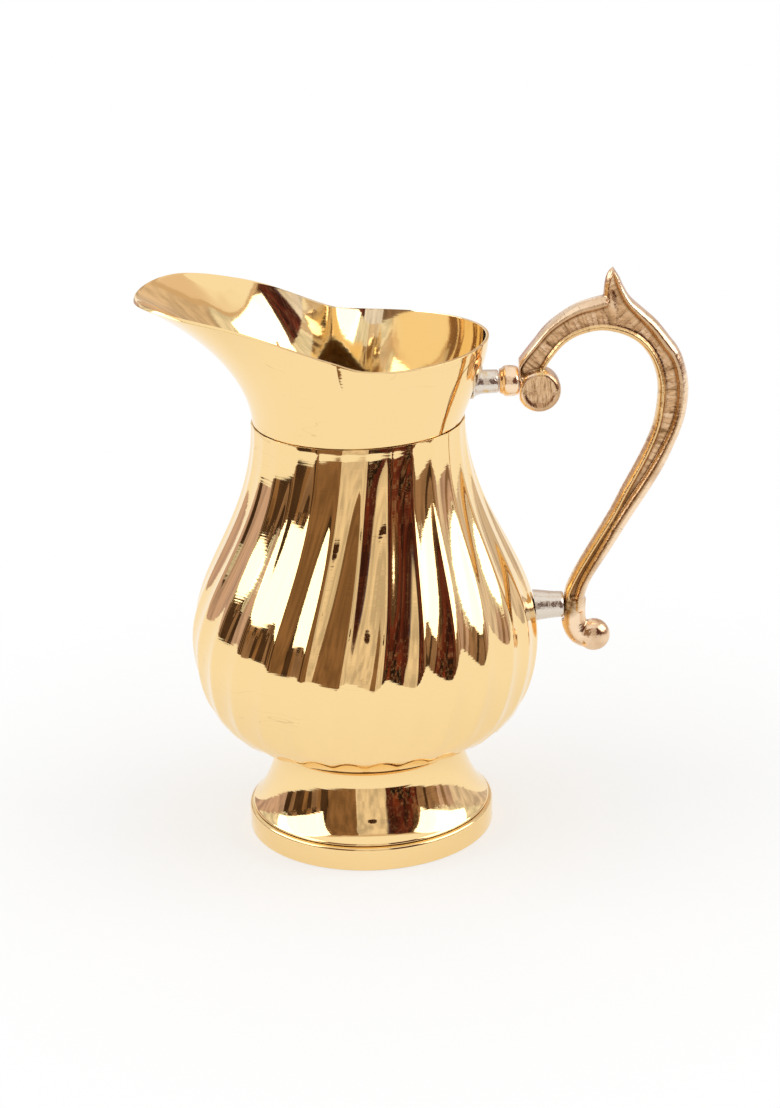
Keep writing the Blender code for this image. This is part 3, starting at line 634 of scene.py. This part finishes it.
def followFlutes(builder):
    ledge, shoulder = ledgeHeight(), bowl["shoulderHeight"]
    for corner in builder.verts:
        radius = math.hypot(corner.co.x, corner.co.y)
        onWall = isOnWall(radius, corner.co.z)
        height = min(max(corner.co.z, ledge), shoulder) if onWall else ledge
        angle = math.atan2(corner.co.y, corner.co.x) + math.radians(bowl["phase"]) - fluteTurn(height)
        hollow = hollowShare(angle, height)
        fromJoint = (radius - foot["cupRadius"] + corner.co.z - foot["cupHeight"]) * math.sqrt(0.5)
        near = smoothStep(1 - abs(fromJoint) / bowl["scallopFade"])
        shift = bowl["scallopRise"] * near * (hollow - 0.5)
        if onWall:
            fade = smoothStep((shoulder - height) / bowl["fade"])
            end = smoothStep((height - ledge) / bowl["scallopFade"])
            depth = mixValues(bowl["topDepth"], bowl["depth"], fade) * mixValues(bowl["endShare"], 1.0, end)
            radius -= depth * hollow
        radius += shift
        corner.co = Vector((radius * math.cos(angle), radius * math.sin(angle), corner.co.z + shift))
    return builder


def makeBowl():
    profile = bowlWall() + bowlUnderside(bowl["rowsInCup"])
    builder = followFlutes(spinSkin(profile, bowl["flutes"] * bowl["facetsPerFlute"]))
    piece = addPiece("bowl_fluted_sheet", builder, polished, 60)
    addSheet(piece, bowl["sheet"], bowl["edgeRound"], satin)
    settle(piece, "fluted_bowl")


makeBowl()
print("bowl fluted")


# Foot and its rim band

def makeFoot():
    bandTop = foot["rimHeight"] + clearance
    edgeTop = bandTop + foot["edgeHeight"]
    rise = foot["waistHeight"] - edgeTop
    edgeRadius = foot["rimRadius"] - foot["edgeStep"]
    out, up = foot["flarePull"]
    flare = curveRun(
        (foot["waistRadius"], foot["waistHeight"]),
        (foot["waistRadius"], foot["waistHeight"] - foot["waistPull"] * rise),
        (mixValues(foot["waistRadius"], edgeRadius, out), edgeTop + up * rise),
        (edgeRadius, edgeTop), foot["flareRows"],
    )
    profile = cupCurve(foot["cupRows"]) + flare + [(edgeRadius, edgeTop), (edgeRadius, bandTop)]
    builder = followFlutes(spinSkin(profile, bowl["flutes"] * bowl["facetsPerFlute"]))
    piece = addPiece("foot_cup_and_flare", builder, polished, 60)
    addSheet(piece, foot["sheet"], foot["edgeRound"])
    settle(piece, "foot")


band = {
    "width": 0.0040, "topRounding": 0.0014, "baseRounding": 0.0006,
    "topSteps": 8, "baseSteps": 6, "facets": 240,
}


def arc(middle, level, size, start, end, steps):  # points between two turns in degrees
    turns = [math.radians(start + (end - start) * step / steps) for step in range(steps + 1)]
    return [(middle + size * math.cos(turn), level + size * math.sin(turn)) for turn in turns]


def makeRimBand():
    outer, height = foot["rimRadius"], foot["rimHeight"]
    inner, soft, under = outer - band["width"], band["topRounding"], band["baseRounding"]
    profile = [(inner, height), *arc(outer - soft, height - soft, soft, 90, 0, band["topSteps"])]
    profile += arc(outer - under, under, under, 0, -90, band["baseSteps"])
    profile += [(inner, 0.0), (inner, height)]
    piece = addPiece("foot_band_turned", spinSkin(profile, band["facets"]), turned, 60)
    settle(piece, "foot_rim_band")


makeFoot()
makeRimBand()
print("foot turned")


# Neck and spout

neck = {
    "radius": 0.0400, "sheet": 0.0012, "skirt": 0.0055, "rows": 60, "facets": 240, "edgeRound": 0.00035,
    "lip": (
        (0, 0.0500, 0.0309), (45, 0.04715, 0.0300), (83, 0.0443, 0.0300), (106, 0.0408, 0.0336),
        (138, 0.0573, 0.0445), (157, 0.0745, 0.0494), (180, 0.0818, 0.0488),
    ),
    "backPulls": (0.35, 0.32, 0.05, 0.32), "mouthPulls": (0.28, 0.32, 0.45, 0.32),
    "spoutPulls": (0.02, 0.37, 0.57, 0.25), "mouthAngle": 83, "spoutTurn": (95, 155),
}


def neckPoint(angle, share):
    turn = abs(math.remainder(angle, math.tau))
    stations = [(math.radians(degrees), reach, rise) for degrees, reach, rise in neck["lip"]]
    reach, lipRise = throughStations(stations, turn)
    base, height = bowl["shoulderHeight"] + clearance, bowl["shoulderHeight"] + lipRise
    flare, rise = reach - neck["radius"], height - base
    spoutFrom, spoutFull = (math.radians(degrees) for degrees in neck["spoutTurn"])
    pour = smoothStep((turn - spoutFrom) / (spoutFull - spoutFrom))
    mouthTurn = math.radians(neck["mouthAngle"])
    beside = smoothStep(1 - abs(turn - mouthTurn) / mouthTurn)
    pulls = zip(neck["backPulls"], neck["mouthPulls"], neck["spoutPulls"])
    lowOut, lowUp, highIn, highDown = (
        mixValues(mixValues(back, mouth, beside), spout, pour) for back, mouth, spout in pulls
    )
    low = (neck["radius"] + flare * lowOut, base + rise * lowUp)
    high = (reach - flare * highIn, height - rise * highDown)
    rest = 1 - share
    weights = (rest**3, 3 * share * rest**2, 3 * share**2 * rest, share**3)
    radius = sum(w * r for w, r in zip(weights, (neck["radius"], low[0], high[0], reach)))
    level = sum(w * z for w, z in zip(weights, (base, low[1], high[1], height)))
    return Vector((radius * math.cos(angle), radius * math.sin(angle), level))


def makeNeck():
    base = bowl["shoulderHeight"] + clearance
    skirt = bowl["shoulderRadius"] - bowl["sheet"] - bowl["topDepth"] - clearance
    rows = neck["rows"]
    chain = [(neck["radius"], base + index / rows) for index in range(rows, -1, -1)]
    chain += [(skirt, base), (skirt, base - clearance - neck["skirt"])]
    builder = spinSkin(chain, neck["facets"])
    for corner in builder.verts:
        if corner.co.z > base + clearance:
            angle = math.atan2(corner.co.y, corner.co.x)
            corner.co = neckPoint(angle, corner.co.z - base)
    piece = addPiece("neck_drawn_sheet", builder, seamed, 60)
    addSheet(piece, neck["sheet"], neck["edgeRound"], throat)
    settle(piece, "neck_and_spout")


makeNeck()
print("neck drawn")


# Handle: a flat web between swept beads, with a spur, a ball and a knob, cast in one

handle = {  # in millimetres; lines as (x from the jug's axis, z, width), read along the outline
    "crown": (
        (60.4, 180.0, 2.2), (59.8, 184.6, 2.2), (62.0, 188.6, 2.2), (66.6, 194.4, 2.4), (71.3, 200.2, 2.9),
        (77.0, 204.7, 3.4), (82.8, 208.1, 4.1), (88.5, 209.9, 4.7), (93.4, 211.0, 4.4),
    ),
    "back": (
        (96.9, 221.0, 0.9), (98.8, 218.1, 2.2), (100.7, 213.9, 2.8), (103.3, 209.7, 3.4), (107.9, 205.4, 4.2),
        (113.1, 200.5, 5.0), (117.7, 194.4, 5.3), (121.2, 189.5, 5.2), (123.5, 183.4, 5.1), (124.9, 175.0, 5.3),
        (124.2, 166.0, 5.1), (122.4, 159.0, 5.0), (119.6, 151.9, 5.3), (115.9, 143.8, 5.8), (110.8, 135.0, 6.0),
        (104.7, 125.5, 6.1), (99.8, 117.7, 5.9), (95.0, 109.8, 5.4), (90.6, 103.1, 4.9), (87.3, 97.4, 4.6),
        (85.3, 91.6, 4.6), (85.0, 86.0, 4.4),
    ),
    "inner": (
        (70.2, 182.7, 2.4), (73.5, 187.6, 2.7), (78.1, 192.8, 3.0), (83.9, 196.2, 3.2), (91.9, 197.7, 3.4),
        (99.9, 195.9, 3.4), (105.7, 192.5, 3.4), (109.7, 187.5, 3.3), (112.0, 182.1, 3.3), (113.2, 176.0, 3.3),
        (112.9, 168.2, 3.3), (111.5, 160.3, 3.3), (108.6, 152.5, 3.3), (104.6, 144.3, 3.3), (99.8, 135.4, 3.3),
        (95.0, 125.9, 3.3), (90.1, 117.5, 3.2), (85.8, 110.2, 3.1), (81.9, 103.4, 3.0), (78.6, 96.6, 2.8),
        (77.4, 92.5, 2.6), (77.0, 87.0, 2.4),
    ),
    "spur": ((96.2, 206.0, 2.9), (95.8, 210.5, 3.0), (95.6, 214.0, 2.6), (95.6, 217.0, 2.1), (95.9, 219.4, 1.5),
             (96.3, 220.9, 0.8), (96.5, 221.4, 0.3)),
    "spurEdge": ((94.2, 213.0), (95.0, 218.0), (96.5, 220.6)), "rowsInSpur": 4,
    "tail": ((82.0, 91.0, 4.0), (81.0, 85.0, 4.6), (81.3, 80.0, 4.9), (83.6, 76.0, 5.1), (87.2, 74.6, 5.2)),
    "ball": (68.4, 175.6), "ballProfile": (
        (0.0, 5.0), (5.1, 5.1), (5.8, 5.45), (6.6, 5.55), (7.5, 4.9), (8.1, 3.8), (8.3, 2.2), (8.3, 0.0),
    ),
    "knob": (88.7, 74.9), "knobProfile": (
        (0.0, 5.3), (2.4, 5.0), (4.2, 4.2), (5.5, 3.0), (6.2, 1.5), (6.4, 0.0),
    ),
    "crownHalf": 4.8, "backHalf": 4.9, "innerHalf": 4.1, "webHalf": 3.0, "spurHalf": 1.15,
    "endShare": 0.55, "collarSeat": 60.95, "postSeat": 77.15, "seatReach": 6.4, "collarFrom": 150.0,
    "voxel": 0.4, "smoothing": 4, "ringSides": 20, "spurSides": 24, "buttonFacets": 64,
    # middle is the point that the painted shade's sides are measured from
    "lineSteps": 3, "tailSteps": 4, "middle": (88.0, 165.0),
}

postHeights = {"upper": 0.179, "lower": 0.088}  # of the two posts' middle lines

# the shade side mark is painted shade
markNames = ("barLength", "innerBead", "webFace", "groove", "paintedShadeSide")

markFades = {  # (start, distance to full), full below the start where the distance is negative
    "bead": (0.0030, -0.0014), "facing": (0.6, 0.3), "inset": (0.0038, -0.0005), "ball": (0.0066, -0.0008),
    # shade and tail place the painted shade, which stays off the tail and the knob
    "groove": (0.000007, 0.000024), "shade": (0.30, -0.35), "tail": (0.086, 0.008),
}

casting = {
    "plain": (0.97, 0.73, 0.50), "inner": (0.85, 0.57, 0.27), "web": (0.68, 0.41, 0.21),
    # shade is the colour of the painted shade on the handle's sides
    "stain": (0.74, 0.50, 0.31), "shade": (0.55, 0.34, 0.17), "groove": (0.17, 0.08, 0.025),
    "roughness": 0.18, "paintedShadeShare": 0.8, "ballShare": 0.8, "ballReach": 0.0075, "stainScale": (70, 70, 70),
    "strokeScale": 3400.0, "strokeDrift": (90, 90, 90), "ballStrokeScale": (2300, 90, 330),
    "nicksUnder": 0.36, "nickShare": 0.35, "fluxOffset": (0.0012, -0.003), "fluxFade": (0.0022, 0.0052),
    "fluxStrength": 1.5, "fluxScale": (500, 500, 500), "softenings": 3,
    "lumps": ((170, 170, 170), 3.0, 0.00035), "strokeHeight": 0.00005, "pits": ((900, 900, 900), 2.0, 0.00005),
}


def castBrass():  # its marks are attributes that markHandle lays on the handle's mesh; the shade side among them is painted shade
    material, tree, shader = newMaterial("castBrass", casting["plain"], casting["roughness"])
    place = jugPlace(tree)
    barLength, innerBead, webFace, groove, paintedShadeSide = (
        addNode(tree, "Attribute", attribute_name=name).outputs["Fac"] for name in markNames
    )
    along = calc(tree, "MULTIPLY", barLength, casting["strokeScale"])
    drift = vectorCalc(tree, "MULTIPLY", place, casting["strokeDrift"])
    strokePlace = vectorCalc(tree, "ADD", addNode(tree, "CombineXYZ", {0: along}).outputs[0], drift)
    strokes = addNode(tree, "TexNoise", {"Vector": strokePlace, "Scale": 1.0, "Detail": 3.0}).outputs["Fac"]
    ballX, ballZ = handle["ball"]
    fromBall = vectorCalc(tree, "SUBTRACT", place, (ballX / 1000, 0, ballZ / 1000))
    fromBall = vectorCalc(tree, "LENGTH", vectorCalc(tree, "MULTIPLY", fromBall, (1, 0, 1)))
    onBall = calc(tree, "LESS_THAN", fromBall, casting["ballReach"])
    strokes = blend(tree, onBall, strokes, noise(tree, place, casting["ballStrokeScale"], 3.0))
    stain = noise(tree, place, casting["stainScale"], 3.0)
    colour = ramp(tree, stain, [(0.38, casting["stain"]), (0.56, casting["plain"])])
    colour = blend(tree, innerBead, colour, casting["inner"])
    # painted shade: the shade colour laid on the sides that face away from the handle's middle
    colour = blend(tree, calc(tree, "MULTIPLY", paintedShadeSide, casting["paintedShadeShare"]), colour, casting["shade"])
    web = ramp(tree, strokes, [(0.28, casting["groove"]), (0.48, casting["web"]), (0.84, casting["plain"])])
    colour = blend(tree, webFace, colour, web)
    nicks = calc(tree, "LESS_THAN", strokes, casting["nicksUnder"])
    nicks = calc(tree, "MULTIPLY", nicks, casting["nickShare"])
    inward, aside = casting["fluxOffset"]
    joint = (handle["postSeat"] / 1000 + inward, aside, postHeights["lower"])
    fromJoint = vectorCalc(tree, "DISTANCE", place, joint)
    flux = remap(tree, fromJoint, *casting["fluxFade"], casting["fluxStrength"], 0.0)
    flux = calc(tree, "MULTIPLY", flux, noise(tree, place, casting["fluxScale"], 3.0))
    dark = calc(tree, "MAXIMUM", calc(tree, "MAXIMUM", groove, nicks), flux)
    tree.links.new(blend(tree, dark, colour, casting["groove"]), shader.inputs["Base Color"])
    lumps, pits = (
        (noise(tree, place, scale, detail), reach)
        for scale, detail, reach in (casting["lumps"], casting["pits"])
    )
    addBumps(tree, shader, [lumps, (strokes, casting["strokeHeight"]), pits])
    return material


def towardsMiddle(rows, side):  # centre line of a bead, half its width in from the outline
    line = []
    for index, (x, z, width) in enumerate(rows):
        before, after = rows[max(index - 1, 0)], rows[min(index + 1, len(rows) - 1)]
        along = Vector((after[0] - before[0], after[1] - before[1])).normalized()
        shift = side * width / 2
        line.append((x + along.y * shift, z - along.x * shift, width / 2))
    return line


def fineLine(line, steps):
    rows = [(index, *row) for index, row in enumerate(line)]
    return [throughStations(rows, index / steps) for index in range((len(line) - 1) * steps + 1)]


def ringPlace(line, index, half):
    x, z, radius = line[index]
    before, after = line[max(index - 1, 0)], line[min(index + 1, len(line) - 1)]
    along = Vector((after[0] - before[0], 0, after[1] - before[1])).normalized()
    across = Vector((along.z, 0, -along.x))
    place = Matrix((across * radius, Vector((0, half, 0)), along)).transposed().to_4x4()
    place.translation = Vector((x, 0, z))
    return place


def sweepRings(builder, line, halves, sides):  # oval ring extruded along a line, closed at its ends
    ring = bmesh.ops.create_circle(builder, cap_ends=True, segments=sides, radius=1.0)["verts"]
    edges = list({edge for corner in ring for edge in corner.link_edges})
    here = ringPlace(line, 0, halves[0])
    bmesh.ops.transform(builder, matrix=here, verts=ring)
    for index in range(1, len(line)):
        grown = bmesh.ops.extrude_edge_only(builder, edges=edges)["geom"]
        ring = [item for item in grown if isinstance(item, bmesh.types.BMVert)]
        edges = [item for item in grown if isinstance(item, bmesh.types.BMEdge)]
        there = ringPlace(line, index, halves[index])
        bmesh.ops.transform(builder, matrix=there @ here.inverted(), verts=ring)
        here = there
    bmesh.ops.contextual_create(builder, geom=edges)


def roundedEnd(last, beside, share):  # smaller ring a little beyond the bead's last one
    away = Vector((last[0] - beside[0], last[1] - beside[1])).normalized() * last[2] * share
    return (last[0] + away.x, last[1] + away.y, last[2] * share)


def sweepBead(builder, line, half):
    share = handle["endShare"]
    halves = [half * share] + [half] * len(line) + [half * share]
    line = [roundedEnd(line[0], line[1], share), *line, roundedEnd(line[-1], line[-2], share)]
    sweepRings(builder, line, halves, handle["ringSides"])


def turnButton(builder, centre, profile):  # lathe about the Y axis
    whole = [*profile, *((radius, -level) for radius, level in reversed(profile[:-1]))]
    chain = [builder.verts.new((centre[0] + radius, level, centre[1])) for radius, level in whole]
    for first, second in zip(chain, chain[1:]):
        builder.edges.new((first, second))
    edges = [edge for edge in builder.edges if edge.verts[0] in chain and edge.verts[1] in chain]
    bmesh.ops.spin(
        builder, geom=chain + edges, cent=(centre[0], 0, centre[1]), axis=(0, 1, 0),
        angle=math.tau, steps=handle["buttonFacets"], use_merge=True,
    )


def handleLines():
    steps = handle["lineSteps"]
    sides = (("crown", 1), ("back", 1), ("inner", -1))
    return [fineLine(towardsMiddle(handle[name], side), steps) for name, side in sides]


def castHandle():
    crown, back, inner = handleLines()
    builder = bmesh.new()
    outline = [row[:2] for row in crown] + list(handle["spurEdge"])
    outline += [row[:2] for row in back[handle["rowsInSpur"]:]] + [row[:2] for row in reversed(inner)]
    half = handle["webHalf"]
    web = builder.faces.new([builder.verts.new((x, -half, z)) for x, z in outline])
    raised = bmesh.ops.extrude_face_region(builder, geom=[web])["geom"]
    raised = [item for item in raised if isinstance(item, bmesh.types.BMVert)]
    bmesh.ops.translate(builder, vec=(0, 2 * half, 0), verts=raised)
    web.normal_flip()
    sweepBead(builder, crown, handle["crownHalf"])
    sweepBead(builder, back, handle["backHalf"])
    sweepBead(builder, inner, handle["innerHalf"])
    sweepBead(builder, fineLine(handle["tail"], handle["tailSteps"]), handle["innerHalf"])
    spur = fineLine(handle["spur"], handle["lineSteps"])
    sweepRings(builder, spur, [row[2] * handle["spurHalf"] for row in spur], handle["spurSides"])
    turnButton(builder, handle["ball"], handle["ballProfile"])
    turnButton(builder, handle["knob"], handle["knobProfile"])
    bmesh.ops.remove_doubles(builder, verts=builder.verts, dist=0.001)
    bmesh.ops.triangulate(builder, faces=[face for face in builder.faces if len(face.verts) > 4])
    bmesh.ops.recalc_face_normals(builder, faces=builder.faces)
    bmesh.ops.scale(builder, vec=(0.001, 0.001, 0.001), verts=builder.verts)
    return builder


def hollowness(mesh):  # how far each corner lies under its neighbours' middle, softened over them
    beside = [[] for corner in mesh.vertices]
    for edge in mesh.edges:
        first, second = edge.vertices
        beside[first].append(second)
        beside[second].append(first)
    depths = []
    for corner in mesh.vertices:
        middle = sum((mesh.vertices[other].co for other in beside[corner.index]), Vector())
        depths.append((middle / max(len(beside[corner.index]), 1) - corner.co).dot(corner.normal))
    for softening in range(casting["softenings"]):
        depths = [
            (depth + sum(depths[other] for other in others)) / (1 + len(others))
            for depth, others in zip(depths, beside)
        ]
    return depths


def barSpot(x, z):  # a point of the handle's lines in metres, in the frame
    return Vector((x / 1000 + jugAxis.x, 0, z / 1000))


def spotTree(spots):
    tree = KDTree(len(spots))
    for index, spot in enumerate(spots):
        tree.insert(spot, index)
    tree.balance()
    return tree


def fadeMark(name, value):
    start, width = markFades[name]
    return smoothStep((value - start) / width)


def markHandle(mesh):  # lays the marks that the casting's finish reads, a value for each corner; the shade side among them is painted shade
    crown, back, inner = handleLines()
    spine = [barSpot(*row[:2]) for row in [*crown, *back]]
    lengths = [0.0]
    for before, after in zip(spine, spine[1:]):
        lengths.append(lengths[-1] + (after - before).length)
    spineTree, beadTree = spotTree(spine), spotTree([barSpot(*row[:2]) for row in inner])
    ball, middle = barSpot(*handle["ball"]), barSpot(*handle["middle"])
    marks = {name: [] for name in markNames}
    for corner, hollow in zip(mesh.vertices, hollowness(mesh)):
        flat = Vector((corner.co.x, 0, corner.co.z))
        first, second = spineTree.find_n(flat, 2)
        share = first[2] / max(first[2] + second[2], 0.000001)
        nearBead = fadeMark("bead", beadTree.find(flat)[2])
        inset = fadeMark("inset", abs(corner.co.y))
        onBall = fadeMark("ball", (flat - ball).length) * casting["ballShare"]
        outward = corner.normal.dot((flat - middle).normalized())
        aboveTail = fadeMark("tail", corner.co.z)
        marks["barLength"].append(mixValues(lengths[first[1]], lengths[second[1]], share))
        marks["innerBead"].append(nearBead)
        marks["webFace"].append(fadeMark("facing", abs(corner.normal.y)) * max(inset, onBall))
        marks["groove"].append(fadeMark("groove", hollow))
        # painted shade on the sides facing away from the handle's middle, kept off the inner bead and the tail
        marks["paintedShadeSide"].append(fadeMark("shade", outward) * (1 - nearBead) * aboveTail)
    for name, values in marks.items():
        mesh.attributes.new(name, "FLOAT", "POINT").data.foreach_set("value", values)


def makeHandle():
    piece = addPiece("handle_cast_bar", castHandle(), cast)
    remesh = piece.modifiers.new("one_casting", "REMESH")
    remesh.mode = "VOXEL"
    remesh.voxel_size = handle["voxel"] / 1000
    relax = piece.modifiers.new("softened", "SMOOTH")
    relax.factor = 0.5
    relax.iterations = handle["smoothing"]
    whole = bpy.data.meshes.new_from_object(piece.evaluated_get(bpy.context.evaluated_depsgraph_get()))
    piece.modifiers.clear()
    piece.data = whole
    collarSeat = handle["collarSeat"] / 1000 + jugAxis.x
    postSeat = handle["postSeat"] / 1000 + jugAxis.x
    for corner in whole.vertices:
        if corner.co.z > handle["collarFrom"] / 1000:
            corner.co.x = max(corner.co.x, collarSeat)
        elif abs(corner.co.z - postHeights["lower"]) < handle["seatReach"] / 1000:
            corner.co.x = max(corner.co.x, postSeat)
    markHandle(whole)
    whole.shade_smooth()
    settle(piece, "handle")


# Posts and collar, turned about the X axis

posts = {  # rows of (share of a radius, distance from the start; the collar's back from its end)
    "upperStart": 0.0424, "upperEnd": 0.0532, "upperRadius": 0.0044, "upperFoot": 0.0064,
    "upperFlare": ((1.0, 0.0012), (0.80, 0.0016), (1.0, 0.0040), (1.02, 0.0064)), "flareRows": 12,
    "collarStart": 0.05353, "collarEnd": 0.06073, "collarRadius": 0.0059,
    "collarFace": ((0.74, 0.0), (0.80, 0.0003)),
    "collarCone": ((0.84, 0.0010), (0.90, 0.0018), (1.0, 0.0014), (1.0, 0.0032)),
    "collarBack": ((1.0, 0.0012), (0.94, 0.0004), (0.82, 0.0)),
    "lowerStart": 0.0640, "lowerEnd": 0.0770, "lowerRadius": 0.0050, "lowerFoot": 0.0060,
    "lowerTaper": ((1.0, 0.0020), (0.96, 0.0050), (1.02, 0.0080)), "bendRows": 10,
    "endRound": 0.0004, "facets": 64,
}


def neckReach(height):  # outer radius of the neck on the handle's side
    low, high = 0.0, 1.0
    for step in range(30):
        middle = (low + high) / 2
        if neckPoint(0.0, middle).z < height:
            low = middle
        else:
            high = middle
    return neckPoint(0.0, low).x


def bowlReach(height):
    wall = bowlWall()
    for upper, lower in zip(wall, wall[1:]):
        if lower[1] <= height <= upper[1]:
            return mixValues(lower[0], upper[0], (height - lower[1]) / (upper[1] - lower[1]))
    return bowl["bellyRadius"]


def turnPost(name, profile, place, material, node, reach=None):
    level = postHeights[place]
    closed = [(0.0, profile[0][1]), *profile, (0.0, profile[-1][1])]
    builder = spinSkin(closed, posts["facets"], axis=(1, 0, 0))
    if reach:  # the foot ring is laid on the jug's round wall
        start = min(corner.co.x for corner in builder.verts)
        for corner in builder.verts:
            if corner.co.x < start + 0.000001:
                radius = reach(level + corner.co.z)
                corner.co.x = math.sqrt(max(radius**2 - corner.co.y**2, 0.0)) + clearance
    bmesh.ops.translate(builder, verts=builder.verts, vec=(0, 0, level))
    settle(addPiece(name, builder, material, 50), node)


def outlineRows(rows, radii, start, way=1):  # rows made points, each with its own radius
    return [(share * radius, start + way * along) for (share, along), radius in zip(rows, radii)]


def postEnd(radius, end):
    edge = posts["endRound"]
    return [(radius, end - edge), (radius - edge, end)]


def makeUpperPost():
    start, thin, wide = posts["upperStart"], posts["upperRadius"], posts["upperFoot"]
    flare = outlineRows(posts["upperFlare"], (wide, wide, thin, thin), start)
    profile = [(wide, start), *curveRun(*flare, posts["flareRows"]), flare[-1]]
    profile += postEnd(thin, posts["upperEnd"])
    turnPost("post_upper_flared", profile, "upper", tinned, "upper_post", neckReach)


def makeCollar():
    start, wide, rows = posts["collarStart"], posts["collarRadius"], posts["bendRows"]
    face = outlineRows(posts["collarFace"], (wide, wide), start)
    cone = outlineRows(posts["collarCone"], [wide] * 4, start)
    back = outlineRows(posts["collarBack"], [wide] * 3, posts["collarEnd"], -1)
    profile = face + curveRun(*cone, rows) + curveRun(cone[-1], *back, rows) + back[-1:]
    turnPost("collar_barrel", profile, "upper", cast, "upper_post_collar")


def makeLowerPost():
    start, thin, wide = posts["lowerStart"], posts["lowerRadius"], posts["lowerFoot"]
    end = postEnd(thin, posts["lowerEnd"])
    taper = outlineRows(posts["lowerTaper"], (wide, wide, thin), start)
    profile = [(wide, start), *curveRun(*taper, end[0], posts["bendRows"]), *end]
    turnPost("post_lower_tapered", profile, "lower", tinned, "lower_post", bowlReach)


cast = castBrass()
makeHandle()
print("handle cast")
makeUpperPost()
makeCollar()
makeLowerPost()
print("posts turned")
